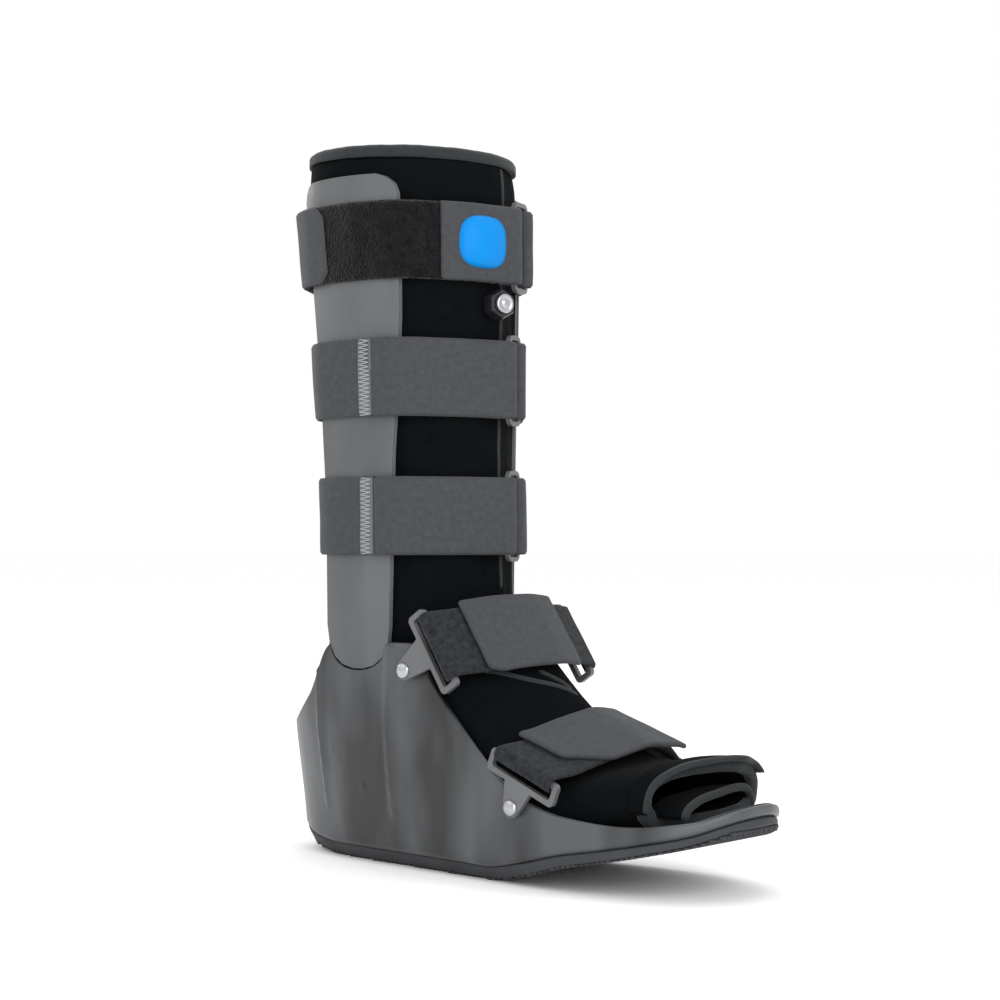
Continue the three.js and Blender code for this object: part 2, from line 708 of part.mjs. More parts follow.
function topStrapPanel(middle, ring, lapEnd) {
  const bars = ringBars(middle, ring);
  const panel = band(middle, (z) => {
    const lap = alongLeg(z, lapEnd, bars.before, liftNear);
    const under = alongLeg(z, bars.before, bars.before - 3 * degree, () => bandOffset);
    return [...lap, ...foldRound(z, bars, bars.front, 1), ...under];
  });
  const window = new THREE.CylinderGeometry(1, 1, legWidth / 3, 24).rotateX(Math.PI / 2);
  window.scale(bulbWidth / 2 + gap * 2, bulbHeight / 2 + gap * 2, 1);
  return panel.subtract(bodyFrom(window, outwardsFrame(middle + bulbLift, bulbAngle, legWidth / 6 + lapOffset - 1.4)));
}

function makeBulb(middle) {
  const rows = [[0, 0], [0.98, 0], [1, 0.2], [0.97, 0.5], [0.85, 0.78], [0.6, 0.94], [0.3, 0.99], [0, 1]];
  const rise = strapThickness + gap + bulbRise;
  const profile = rows.map(([r, h]) => new THREE.Vector2(r, h * rise));
  const dome = new THREE.LatheGeometry(profile, 20).rotateX(Math.PI / 2);
  dome.scale(bulbWidth / 2, bulbHeight / 2, 1);
  return bodyFrom(dome, outwardsFrame(middle + bulbLift, bulbAngle, bandOffset + strapThickness / 2 + gap * 4));
}

// A rounded rectangle, as a shape or as the hole of one.
function roundedBox(shape, width, height, radius) {
  const x = width / 2;
  const y = height / 2;
  shape.moveTo(-x + radius, -y);
  shape.lineTo(x - radius, -y).absarc(x - radius, -y + radius, radius, -Math.PI / 2, 0);
  shape.lineTo(x, y - radius).absarc(x - radius, y - radius, radius, 0, Math.PI / 2);
  shape.lineTo(-x + radius, y).absarc(-x + radius, y - radius, radius, Math.PI / 2, Math.PI);
  shape.lineTo(-x, -y + radius).absarc(-x + radius, -y + radius, radius, Math.PI, Math.PI * 1.5);
  return shape;
}

// A leg strap's ring: a rounded loop of square bar, flat against the strap.
function strapRing(middle, ring) {
  const { out, across, centre } = ringBars(middle, ring);
  const frame = new THREE.Matrix4().makeBasis(across, point(0, 0, 1), out).setPosition(centre.x, centre.y, middle);
  const inside = strapWidth + ringSlack * 2;
  const outline = roundedBox(new THREE.Shape(), ring.reach, inside + barThickness * 2, barThickness * 1.6);
  const slot = roundedBox(new THREE.Path(), ring.reach - barThickness * 2, inside, barThickness * 0.6);
  outline.holes.push(slot);
  const loop = new THREE.ExtrudeGeometry(outline, { depth: barThickness, bevelEnabled: false, curveSegments: 2 });
  return bodyFrom(loop.translate(0, 0, -barThickness / 2), frame);
}

// The rings and straps over the foot lie in a plane of their own: u runs across the boot, v out of the
// instep and w down along the strap's width.
function footFrame({ slot, lean }) {
  const width = point(Math.cos(lean), 0, Math.sin(lean));
  const out = point(-Math.sin(lean), 0, Math.cos(lean));
  return (u, v, w) => point(slot[0], u, slot[1]).addScaledVector(out, v).addScaledVector(width, w);
}
const onStrap = (frame) => (p) => {
  const origin = frame(0, 0, 0);
  const out = frame(0, 1, 0).sub(origin);
  return [p.y, p.clone().sub(origin).dot(out)];
};

const plateFace = (ring) => {
  const wall = planRing(ring.slot[1], 0);
  const near = wall.filter((p) => Math.abs(p.x - ring.rivet[0]) < slotLength);
  return Math.max(...near.map((p) => Math.abs(p.y))) + gap * 2;
};
const slotLength = strapWidth - 2;

// A shell ring: a flat plate with a slot for the strap and an eye for its rivet.
function shellRing(ring, side) {
  const face = plateFace(ring);
  const half = slotLength / 2 + plateThickness;
  const frame = footFrame(ring);
  const origin = frame(0, 0, 0);
  const axisW = frame(0, 0, 1).sub(origin);
  const axisV = frame(0, 1, 0).sub(origin);
  const away = point(ring.rivet[0], 0, ring.rivet[1]).sub(origin);
  const eye = new THREE.Vector2(away.dot(axisW), away.dot(axisV));
  const edge = slotWidth / 2 + plateThickness;
  const eyeRadius = rivetHead * 0.62;
  const outline = new THREE.Shape();
  outline.moveTo(-half + 3, edge).lineTo(half - 3, edge);
  outline.absarc(half - 3, edge - 3, 3, Math.PI / 2, 0, true);
  outline.lineTo(half, -edge + 3).absarc(half - 3, -edge + 3, 3, 0, -Math.PI / 2, true);
  outline.lineTo(eye.x + eyeRadius + 4, -edge);
  outline.lineTo(eye.x + eyeRadius, eye.y).absarc(eye.x, eye.y, eyeRadius, 0, -Math.PI, true);
  outline.lineTo(eye.x - eyeRadius - 4, -edge);
  outline.lineTo(-half + 3, -edge).absarc(-half + 3, -edge + 3, 3, -Math.PI / 2, -Math.PI, true);
  outline.lineTo(-half, edge - 3).absarc(-half + 3, edge - 3, 3, Math.PI, Math.PI / 2, true);
  const slot = roundedBox(new THREE.Path(), slotLength, slotWidth, 1.5);
  const hole = new THREE.Path().absarc(eye.x, eye.y, rivetDiameter / 2 + gap * 2, 0, 2 * Math.PI);
  outline.holes.push(slot, hole);
  const plate = new THREE.ExtrudeGeometry(outline, { depth: plateThickness, bevelEnabled: false, curveSegments: 3 });
  const outwards = point(0, side, 0);
  const basis = new THREE.Matrix4().makeBasis(axisW, axisV, point(0, -1, 0));
  basis.setPosition(origin.addScaledVector(outwards, side < 0 ? face : face + plateThickness));
  return bodyFrom(plate, basis);
}

// A rivet: a domed head outside the ring's eye and a shank through the shell's wall.
function makeRivet(ring, side) {
  const face = plateFace(ring) + plateThickness;
  const shank = rivetDiameter / 2;
  const head = rivetHead / 2;
  const rise = 2.2;
  const back = face - shellInside(ring);
  const rows = [[0, -back], [shank, -back], [shank, gap], [head, gap], [head * 0.92, rise * 0.55]];
  rows.push([head * 0.65, rise * 0.9], [0, rise]);
  const pin = new THREE.LatheGeometry(rows.map(([r, y]) => new THREE.Vector2(r, y)), 12);
  const turned = side < 0 ? pin.rotateZ(Math.PI) : pin;
  return bodyFrom(turned.translate(ring.rivet[0], side * face, ring.rivet[1]));
}
function shellInside(ring) {
  const wall = planRing(ring.rivet[1], shellWall);
  const nearest = [...wall].sort((a, b) => Math.abs(a.x - ring.rivet[0]) - Math.abs(b.x - ring.rivet[0]));
  return Math.abs(nearest[0].y);
}

// How high each foot strap's middle line stands above its rings' slots, from the right side to the left
const ankleLine = [
  { across: -0.68, rise: 11.5 },
  { across: -0.3, rise: 16 },
  { across: 0, rise: 17.5 },
  { across: 0.3, rise: 17.5 },
  { across: 0.68, rise: 13.5 },
];
const toeLineRise = [
  { across: -0.68, rise: 10.5 },
  { across: -0.3, rise: 16 },
  { across: 0, rise: 19.5 },
  { across: 0.3, rise: 22.5 },
  { across: 0.68, rise: 20 },
];

const footShares = Array.from({ length: 9 }, (_, k) => mix(-0.68, 0.68, k / 8));

// The strap between a pair of shell rings, folded round their outer bars, and the pad that covers it.
function footStrap(ring, rows) {
  const frame = footFrame(ring);
  const barU = plateFace(ring) + plateThickness / 2;
  const barV = slotWidth / 2 + plateThickness / 2;
  const line = smooth(rows, "across", "rise");
  const radius = plateThickness * 0.75 + gap + strapThickness / 2;
  const inner = footShares.map((share) => [(share * ankleWidth) / 2, line(share)]);
  const fold = (side) =>
    [-100, -60, -20, 20, 60, 100].map((degrees) => {
      const turned = degrees * degree;
      return [side * (barU - radius * Math.cos(turned + Math.PI)), barV + radius * Math.sin(turned)];
    });
  const right = fold(-1);
  const left = fold(1);
  const path = [...right, ...inner, ...left.reverse()];
  const ends = [-slotLength / 2 + gap * 2, slotLength / 2 - gap * 2];
  const flat = path.map(([u, v]) => point(u, v, 0));
  const outline = ribbonOutline(flat, strapThickness);
  return loft(ends.map((w) => outline.map((p) => frame(p.x, p.y, w))), onStrap(frame));
}

function footPad(ring, rows, skew) {
  const frame = footFrame(ring);
  const line = smooth(rows, "across", "rise");
  const lift = strapThickness / 2 + gap + padThickness / 2;
  const edge = (w) => {
    const path = footShares.map((share) => {
      const moved = share + (2 * skew * w) / padWidth / ankleWidth;
      return point((moved * ankleWidth) / 2, line(moved) + lift, 0);
    });
    return ribbonOutline(path, padThickness).map((p) => frame(p.x, p.y, w));
  };
  return loft([edge(-padWidth / 2), edge(padWidth / 2)], onStrap(frame));
}

// The air valve on the front of the liner: a hexagonal bezel with a floor, and the button that is pressed in it.
const strapSpace = topStrapHeight - midStrapHeight - strapWidth;
const valve = {
  height: midStrapHeight + strapWidth / 2 + 0.622 * strapSpace,
  angle: -17 * degree,
  across: 1.5,
};
const valveSeat = 3.2;
function valveFrame(lift) {
  const leg = legAt(valve.height);
  const seat = leg.centre + leg.depth;
  const out = point(Math.cos(valve.angle), Math.sin(valve.angle), 0);
  const across = point(-Math.sin(valve.angle), Math.cos(valve.angle), 0);
  const origin = point(seat, valve.across, valve.height).addScaledVector(out, lift);
  return new THREE.Matrix4().makeBasis(across, point(0, 0, 1), out).setPosition(origin);
}
function turnedBody(rows, segments, matrix) {
  const lathe = new THREE.LatheGeometry(rows.map(([r, h]) => new THREE.Vector2(r, h)), segments);
  return bodyFrom(lathe.rotateX(Math.PI / 2), matrix);
}
function makeBezel() {
  const radius = valveAcrossFlats / 2 / Math.cos(Math.PI / 6);
  const hexagon = [[0, 0], [radius, 0], [radius, valveDepth - 1.5], [radius * 0.9, valveDepth], [0, valveDepth]];
  const bore = buttonDiameter / 2 + gap;
  const floor = valveDepth - buttonDepth();
  const hollow = [[0, floor], [bore, floor], [bore, valveDepth * 2], [0, valveDepth * 2]];
  return turnedBody(hexagon, 6, valveFrame(valveSeat)).subtract(turnedBody(hollow, 20, valveFrame(valveSeat)));
}
const buttonDepth = () => buttonTravel + gap + valveDepth * 0.4;
function makeButton() {
  const radius = buttonDiameter / 2;
  const low = valveDepth - valveDepth * 0.4;
  const top = valveDepth + buttonProud;
  const rows = [[0, low], [radius, low], [radius, top - 0.8], [radius - 0.8, top], [0, top]];
  return turnedBody(rows, 20, valveFrame(valveSeat));
}

// Which colour and finish each piece has
const finishes = {
  rubber: { color: 0x1b1c1e, roughness: 0.85, metalness: 0 },
  shellPlastic: { color: 0x45474b, roughness: 0.45, metalness: 0 },
  uprightPlastic: { color: 0x6b6e71, roughness: 0.5, metalness: 0 },
  linerFabric: { color: 0x0f1112, roughness: 0.95, metalness: 0 },
  bindingFabric: { color: 0x2c2f31, roughness: 0.9, metalness: 0 },
  strapLaminate: { color: 0x54565a, roughness: 0.8, metalness: 0 },
  loopPile: { color: 0x101112, roughness: 1, metalness: 0 },
  webbing: { color: 0x2b2c2f, roughness: 0.9, metalness: 0 },
  ringPlastic: { color: 0x77797c, roughness: 0.5, metalness: 0 },
  steel: { color: 0xc8cbcf, roughness: 0.25, metalness: 1 },
  bulbRubber: { color: 0x0a93ea, roughness: 0.5, metalness: 0 },
  bezelPlastic: { color: 0x141518, roughness: 0.4, metalness: 0 },
};
const materials = Object.fromEntries(
  Object.entries(finishes).map(([name, finish]) => [name, new THREE.MeshStandardMaterial(finish)]),
);

// A named mesh from a body.
function meshOf(name, body, finish) {
  const { vertProperties, triVerts } = body.getMesh();
  const geometry = new THREE.BufferGeometry();
  geometry.setAttribute("position", new THREE.BufferAttribute(new Float32Array(vertProperties), 3));
  geometry.setIndex(new THREE.BufferAttribute(new Uint32Array(triVerts), 1));
  geometry.computeVertexNormals();
  const mesh = new THREE.Mesh(geometry, materials[finish]);
  mesh.name = name;
  return mesh;
}

const boot = new THREE.Group();
boot.name = "walking_boot";
const place = (name, body, finish) => boot.add(meshOf(name, body, finish));

place("outsole", makeOutsole(), "rubber");
place("shell", makeShell(), "shellPlastic");
place("upright_right", makeUpright(-1), "uprightPlastic");
place("upright_left", makeUpright(1), "uprightPlastic");
// The liner's foot is parted across the middle of the foot, under the toe strap
const toeSeam = lengthAt(0.625);
const footLiner = makeLinerFoot();
place("liner_foot", footLiner.trimByPlane([-1, 0, 0], gap / 2 - toeSeam), "linerFabric");
place("liner_toe", footLiner.trimByPlane([1, 0, 0], toeSeam + gap / 2), "linerFabric");
place("liner_leg", makeLinerLeg(), "linerFabric");
place("top_binding", makeTopBinding(), "bindingFabric");

// Each leg ring: where it lies round the leg, and how wide it is along the strap
const topRing = { angle: 17 * degree, reach: 19 };
const lowRing = { angle: 14 * degree, reach: 15 };
const lapEnd = -72 * degree;
place("strap_low", legStrap(lowStrapHeight, lowRing, lapEnd), "strapLaminate");
place("ring_low", strapRing(lowStrapHeight, lowRing), "ringPlastic");
place("strap_mid", legStrap(midStrapHeight, lowRing, lapEnd), "strapLaminate");
place("ring_mid", strapRing(midStrapHeight, lowRing), "ringPlastic");

const panelEnd = -34 * degree;
const tabEnd = -97 * degree;
place("strap_top", topStrapBack(topStrapHeight, topRing, tabEnd), "strapLaminate");
place("strap_top_pile", topStrapPile(topStrapHeight, -140 * degree, 3 * degree), "loopPile");
place("strap_top_panel", topStrapPanel(topStrapHeight, topRing, panelEnd), "strapLaminate");
place("ring_top", strapRing(topStrapHeight, topRing), "ringPlastic");
place("bulb", makeBulb(topStrapHeight), "bulbRubber");

place("valve_bezel", makeBezel(), "bezelPlastic");
place("valve_button", makeButton(), "steel");

place("strap_ankle", footStrap(ankleRing, ankleLine), "webbing");
place("pad_ankle", footPad(ankleRing, ankleLine, 0), "strapLaminate");
place("strap_toe", footStrap(toeRing, toeLineRise), "webbing");
place("pad_toe", footPad(toeRing, toeLineRise, 8), "strapLaminate");
for (const [side, hand] of [[-1, "right"], [1, "left"]]) {
  place(`ring_ankle_${hand}`, shellRing(ankleRing, side), "ringPlastic");
  place(`rivet_ankle_${hand}`, makeRivet(ankleRing, side), "steel");
  place(`ring_toe_${hand}`, shellRing(toeRing, side), "ringPlastic");
  place(`rivet_toe_${hand}`, makeRivet(toeRing, side), "steel");
}

export default boot;
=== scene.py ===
# %% [markdown]
# # A tall walking boot, one piece at a time
#
# The boot is a stiff plastic shell on a rubber rocker sole, two plastic uprights, and a soft padded
# liner that five straps hold shut. The hard frame is already fixed: every piece here is built around
# it, in metres, in the same place. Hard pieces get rounded edges and a moulded surface. Soft ones are
# modelled again as fabric, because a plain solid never looks sewn.

# %% Load the fixed frame
import json
import math

import bmesh
import bpy
import numpy as np
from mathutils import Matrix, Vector, noise
from mathutils.bvhtree import BVHTree


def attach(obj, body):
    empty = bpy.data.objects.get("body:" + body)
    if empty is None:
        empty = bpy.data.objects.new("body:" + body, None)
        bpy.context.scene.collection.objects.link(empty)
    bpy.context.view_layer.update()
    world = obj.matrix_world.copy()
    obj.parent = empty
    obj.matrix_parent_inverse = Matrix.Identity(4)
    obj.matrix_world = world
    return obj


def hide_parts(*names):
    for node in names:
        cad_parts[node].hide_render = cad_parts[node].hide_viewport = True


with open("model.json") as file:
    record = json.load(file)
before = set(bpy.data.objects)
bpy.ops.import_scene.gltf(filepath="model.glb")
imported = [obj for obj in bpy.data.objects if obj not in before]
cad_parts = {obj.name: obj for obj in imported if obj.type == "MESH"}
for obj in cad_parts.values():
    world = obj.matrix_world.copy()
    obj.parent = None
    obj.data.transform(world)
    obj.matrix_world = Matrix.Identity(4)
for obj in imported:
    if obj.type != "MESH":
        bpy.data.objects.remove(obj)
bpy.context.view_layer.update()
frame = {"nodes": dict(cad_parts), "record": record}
scene = bpy.context.scene
nodes = frame["nodes"]
BOOT = "boot"
BUTTON = "release_button"

# %% [markdown]
# ## The camera
#
# The picture was taken from the front right, about 40 degrees off the side, with a long lens a little
# below the boot's middle. A long lens keeps the leg's sides almost parallel. The camera is tipped up
# a little instead of being shifted, so that other views can reuse it as it stands.

# %% Camera at the photograph's angle
camera_turn = math.radians(41.0)
camera_distance = 1.25
camera_height = 0.196
camera_tilt = math.radians(1.11)
aim_length = -0.0175
camera_lens = 74.25

camera = bpy.data.objects.new("camera", bpy.data.cameras.new("camera"))
scene.collection.objects.link(camera)
camera.data.lens = camera_lens
camera.data.sensor_width = 36.0
camera.location = (
    aim_length + camera_distance * math.sin(camera_turn),
    -camera_distance * math.cos(camera_turn),
    camera_height,
)
look = Vector((-math.sin(camera_turn), math.cos(camera_turn), math.tan(camera_tilt)))
camera.rotation_euler = look.to_track_quat("-Z", "Y").to_euler()
scene.camera = camera
print("camera at", [round(v, 3) for v in camera.location])

# %% [markdown]
# ## Floor and light
#
# The setting is a plain white sweep. One large pale floor runs to the horizon and meets a sky of the
# same brightness, so hardly a line shows between them. Broad lamps stand for the studio's soft boxes.

# %% Floor, sky and lamps
floor_size = 60.0
floor_mesh = bpy.data.meshes.new("floor")
corner = floor_size / 2
floor_mesh.from_pydata(
    [(-corner, -corner, 0), (corner, -corner, 0), (corner, corner, 0), (-corner, corner, 0)],
    [],
    [(0, 1, 2, 3)],
)
floor = bpy.data.objects.new("floor", floor_mesh)
scene.collection.objects.link(floor)

sky = bpy.data.worlds.new("studio")
scene.world = sky
sky.use_nodes = True
sky.node_tree.nodes["Background"].inputs["Color"].default_value = (1.0, 1.0, 1.0, 1.0)
sky.node_tree.nodes["Background"].inputs["Strength"].default_value = 1.0
scene.view_settings.view_transform = "Standard"


def add_lamp(name, place, target, size, power):
    """A square soft box at a place, facing a target."""
    data = bpy.data.lights.new(name, "AREA")
    data.shape = "SQUARE"
    data.size = size
    data.energy = power
    lamp = bpy.data.objects.new(name, data)
    lamp.location = place
    lamp.rotation_euler = (Vector(target) - Vector(place)).to_track_quat("-Z", "Y").to_euler()
    scene.collection.objects.link(lamp)
    return lamp


boot_middle = (0.0, 0.0, 0.2)
add_lamp("key", (1.8, -0.8, 1.2), boot_middle, 1.0, 15.0)
add_lamp("fill", (-1.0, -1.6, 1.2), boot_middle, 1.2, 3.0)
add_lamp("top", (-0.1, 0.5, 2.2), boot_middle, 1.4, 10.0)
add_lamp("low", (1.3, -1.5, 0.3), (0.08, 0.0, 0.02), 1.0, 11.0)
add_lamp("edge", (-1.3, 0.1, 0.6), boot_middle, 0.5, 3.0)
print("studio: floor, sky and 5 lamps")

# %% [markdown]
# ## Shader helpers
#
# Several finishes share the same small effects, such as a moulded grain or a woven face. Each effect
# is a node group: it puts out only values that change over the surface, and each material mixes them
# into its own Principled shader.


# %% Node helpers
def add_node(tree, kind, values=None, **settings):
    """A node with its settings, plain values and links in one call."""
    made = tree.nodes.new(kind)
    for key, value in settings.items():
        setattr(made, key, value)
    for key, value in (values or {}).items():
        if isinstance(value, bpy.types.NodeSocket):
            tree.links.new(value, made.inputs[key])
        else:
            made.inputs[key].default_value = value
    return made


def new_group(name, inputs):
    """A shader group that takes a Vector and the named numbers and gives a Shade and a Height."""
    tree = bpy.data.node_groups.new(name, "ShaderNodeTree")
    tree.interface.new_socket("Vector", in_out="INPUT", socket_type="NodeSocketVector")
    for label, value in inputs.items():
        socket = tree.interface.new_socket(label, in_out="INPUT", socket_type="NodeSocketFloat")
        socket.default_value = value
    for label in ("Shade", "Height"):
        tree.interface.new_socket(label, in_out="OUTPUT", socket_type="NodeSocketFloat")
    return tree, tree.nodes.new("NodeGroupInput").outputs, tree.nodes.new("NodeGroupOutput")


def math_node(tree, operation, first, second=0.0, third=0.0):
    """The result socket of one sum."""
    made = add_node(tree, "ShaderNodeMath", {0: first, 1: second, 2: third}, operation=operation)
    return made.outputs[0]


def noise_at(tree, vector, scale, detail=2.0, roughness=0.55):
    """The Fac socket of a noise texture."""
    values = {"Vector": vector, "Scale": scale, "Detail": detail, "Roughness": roughness}
    return add_node(tree, "ShaderNodeTexNoise", values).outputs["Fac"]


def finish_group(tree, output, shade, height):
    """Links the two results of a group."""
    tree.links.new(shade, output.inputs["Shade"])
    tree.links.new(height, output.inputs["Height"])
    return tree


# %% Effects shared by the materials
def make_moulded():
    """Smoky upright streaks and a fine grain, as on moulded plastic."""
    tree, given, output = new_group("moulded", {"Streaks": 22.0, "Grain": 1500.0})
    stretched = add_node(
        tree, "ShaderNodeMapping", {"Vector": given["Vector"], "Scale": (1.0, 1.0, 0.32)}
    ).outputs[0]
    streaks = noise_at(tree, stretched, given["Streaks"], 3.0)
    grain = noise_at(tree, given["Vector"], given["Grain"], 2.0)
    return finish_group(tree, output, streaks, grain)


def make_fleece():
    """Short brushed nap: soft clumps with fine hairs over them."""
    tree, given, output = new_group("fleece", {"Clumps": 90.0, "Hairs": 1400.0})
    clumps = noise_at(tree, given["Vector"], given["Clumps"], 4.0, 0.65)
    hairs = noise_at(tree, given["Vector"], given["Hairs"], 3.0, 0.7)
    height = math_node(tree, "MULTIPLY_ADD", clumps, 0.7, hairs)
    shade = math_node(tree, "MULTIPLY_ADD", hairs, 0.6, clumps)
    return finish_group(tree, output, shade, height)


def make_weave():
    """A plain weave on a piece's own UV map, which is laid out in metres along and across it."""
    tree, given, output = new_group("weave", {"Threads": 9000.0, "Slub": 260.0})
    parts = add_node(tree, "ShaderNodeSeparateXYZ", {0: given["Vector"]}).outputs
    warp = math_node(tree, "SINE", math_node(tree, "MULTIPLY", parts[0], given["Threads"]))
    weft = math_node(tree, "SINE", math_node(tree, "MULTIPLY", parts[1], given["Threads"]))
    cross = math_node(tree, "MULTIPLY", warp, weft)
    slub = noise_at(tree, given["Vector"], given["Slub"], 4.0)
    shade = math_node(tree, "MULTIPLY_ADD", cross, 0.12, slub)
    height = math_node(tree, "MULTIPLY_ADD", cross, 0.35, slub)
    return finish_group(tree, output, shade, height)


def make_pile():
    """Crushed loops: small cells, with a painted glint of light here and there."""
    tree, given, output = new_group("pile", {"Loops": 620.0, "Crush": 170.0})
    values = {"Vector": given["Vector"], "Scale": given["Loops"]}
    cells = add_node(tree, "ShaderNodeTexVoronoi", values, feature="F1").outputs["Distance"]
    crush = noise_at(tree, given["Vector"], given["Crush"], 5.0, 0.75)
    height = math_node(tree, "SUBTRACT", crush, math_node(tree, "MULTIPLY", cells, 0.8))
    # Sparse bright specks painted into the colour stand in for glints of light on the loops.
    painted_glint = math_node(tree, "GREATER_THAN", noise_at(tree, given["Vector"], given["Loops"], 1.0), 0.68)
    shade = math_node(tree, "MULTIPLY_ADD", painted_glint, 0.8, crush)
    return finish_group(tree, output, shade, height)


effects = {tree.name: tree for tree in (make_moulded(), make_fleece(), make_weave(), make_pile())}
print("effects:", ", ".join(effects))

# %% [markdown]
# ## The materials
#
# A finish is a colour that varies a little, a roughness, and a bump from its effect. Fabric also gets
# sheen, the soft light that loose fibres catch at a grazing angle. The base colours are shares of
# those in the frame's record, so a finish is tuned without a second list of colours.

# %% Materials from the record's slots
slot_colors = {row["slot"]: row["base_color"] for row in frame["record"]["materials"]}


def make_finish(
    slot, effect, settings, shade=(0.75, 1.3), bump=0.2, depth=0.0003, uv=False, stops=(0.3, 0.75)
):
    """A material whose colour swings between two shares of its slot's colour with the effect."""
    material = bpy.data.materials.new(slot)
    material.use_nodes = True
    tree = material.node_tree
    shader = tree.nodes["Principled BSDF"]
    coordinates = add_node(tree, "ShaderNodeTexCoord").outputs["UV" if uv else "Object"]
    group = add_node(tree, "ShaderNodeGroup", node_tree=effects[effect])
    tree.links.new(coordinates, group.inputs["Vector"])
    for label, value in settings.items():
        if label in group.inputs:
            group.inputs[label].default_value = value
        else:
            shader.inputs[label].default_value = value
    ramp = add_node(tree, "ShaderNodeValToRGB", {"Fac": group.outputs["Shade"]})
    color = slot_colors[slot][:3]
    for stop, (place, share) in zip(ramp.color_ramp.elements, zip(stops, shade)):
        stop.position = place
        stop.color = (*[min(value * share, 1.0) for value in color], 1.0)
    tree.links.new(ramp.outputs["Color"], shader.inputs["Base Color"])
    values = {"Strength": bump, "Distance": depth, "Height": group.outputs["Height"]}
    relief = add_node(tree, "ShaderNodeBump", values)
    tree.links.new(relief.outputs["Normal"], shader.inputs["Normal"])
    return material


def cloth_sheen(weight, roughness=0.5):
    """Sheen settings for a fabric, which has hardly any mirror shine."""
    return {"Sheen Weight": weight, "Sheen Roughness": roughness, "Specular IOR Level": 0.1}


# Effect, settings, shades, bump, its depth, whether it uses the UV map, and the shades' places
finish_rows = {
    "outsole": ("moulded", {"Roughness": 0.7, "Grain": 900.0}, (1.3, 2.6), 0.35),
    "shell": (
        "moulded", {"Roughness": 0.36, "Streaks": 17.0}, (0.12, 1.0), 0.12, 0.0002, False, (0.4, 0.62)
    ),
    "upright": ("moulded", {"Roughness": 0.46, "Streaks": 30.0}, (0.42, 0.66), 0.12, 0.0002),
    "liner": (
        "fleece",
        {"Roughness": 0.95, **cloth_sheen(0.01, 0.4), "Specular IOR Level": 0.03},
        (0.05, 0.6),
        0.5,
        0.0005,
    ),
    "binding": (
        "fleece",
        {"Roughness": 0.85, "Clumps": 260.0, "Hairs": 2400.0, **cloth_sheen(0.1)},
        (0.4, 0.95),
        0.4,
    ),
    "strap": ("weave", {"Roughness": 0.78, **cloth_sheen(0.06)}, (0.48, 0.64), 0.22, 0.0002, True),
    "pile": ("pile", {"Roughness": 0.9, **cloth_sheen(0.1)}, (0.04, 1.4), 1.0, 0.0012),
    "webbing": (
        "weave",
        {"Roughness": 0.85, "Threads": 5200.0, **cloth_sheen(0.05)},
        (0.4, 1.3),
        0.6,
        0.0004,
        True,
    ),
    "ring": ("moulded", {"Roughness": 0.34}, (0.42, 0.62), 0.12, 0.0002),
    "steel": ("moulded", {"Roughness": 0.3, "Metallic": 1.0}, (0.6, 0.8), 0.05, 0.0001),
    "bulb": ("moulded", {"Roughness": 0.4, "Specular IOR Level": 0.1}, (0.64, 0.78), 0.06, 0.0001),
    "bezel": ("moulded", {"Roughness": 0.35}, (0.8, 1.3), 0.1, 0.0001),
}
finishes = {slot: make_finish(slot, *row) for slot, row in finish_rows.items()}
floor_material = bpy.data.materials.new("floor")
floor_material.use_nodes = True
floor_shader = floor_material.node_tree.nodes["Principled BSDF"]
floor_shader.inputs["Base Color"].default_value = (0.995, 0.995, 0.995, 1.0)
floor_shader.inputs["Roughness"].default_value = 1.0
floor_shader.inputs["Specular IOR Level"].default_value = 0.0
floor.data.materials.append(floor_material)
print("finishes:", len(finishes))

# %% [markdown]
# ## Mesh helpers
#
# The frame's solids are faceted, so they are a guide and not the finished skin. Some pieces are a
# copy of a solid with its edges rolled. Others read a line or an outline from the solid and are
# rebuilt along it with many more points. A finished piece sits at the origin with its place in its mesh.


# %% Making and placing pieces
def close_skin(mesh, merge):
    """Merges doubled points, turns the faces out and shades them smooth."""
    work = bmesh.new()
    work.from_mesh(mesh)
    bmesh.ops.remove_doubles(work, verts=work.verts, dist=merge)
    bmesh.ops.recalc_face_normals(work, faces=work.faces)
    work.to_mesh(mesh)
    work.free()
    mesh.shade_smooth()


def new_piece(name, points, faces, material=None):
    """An object from points and faces, with its normals facing out."""
    mesh = bpy.data.meshes.new(name)
    mesh.from_pydata([tuple(p) for p in points], [], faces)
    piece = bpy.data.objects.new(name, mesh)
    scene.collection.objects.link(piece)
    close_skin(mesh, 1e-6)
    if material:
        mesh.materials.append(material)
    return piece


def ring_faces(count, rows, closed=False):
    """Faces between neighbouring columns of a ring, whose rows may close on themselves too."""
    faces = []
    for k in range(count):
        j = (k + 1) % count
        for r in range(rows if closed else rows - 1):
            q = (r + 1) % rows
            faces.append((k * rows + r, j * rows + r, j * rows + q, k * rows + q))
    return faces


def dress(piece, body, slot, *replaced):
    """Attaches a finished piece to its body and hides the CAD parts that it replaces."""
    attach(piece, body)
    if replaced:
        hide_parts(*replaced)
    return piece


def bake_modifiers(piece):
    """Turns a piece and its modifiers into a plain mesh."""
    graph = bpy.context.evaluated_depsgraph_get()
    graph.update()
    shaped = bpy.data.meshes.new_from_object(piece.evaluated_get(graph), depsgraph=graph)
    old = piece.data
    piece.modifiers.clear()
    piece.data = shaped
    bpy.data.meshes.remove(old)
    return piece


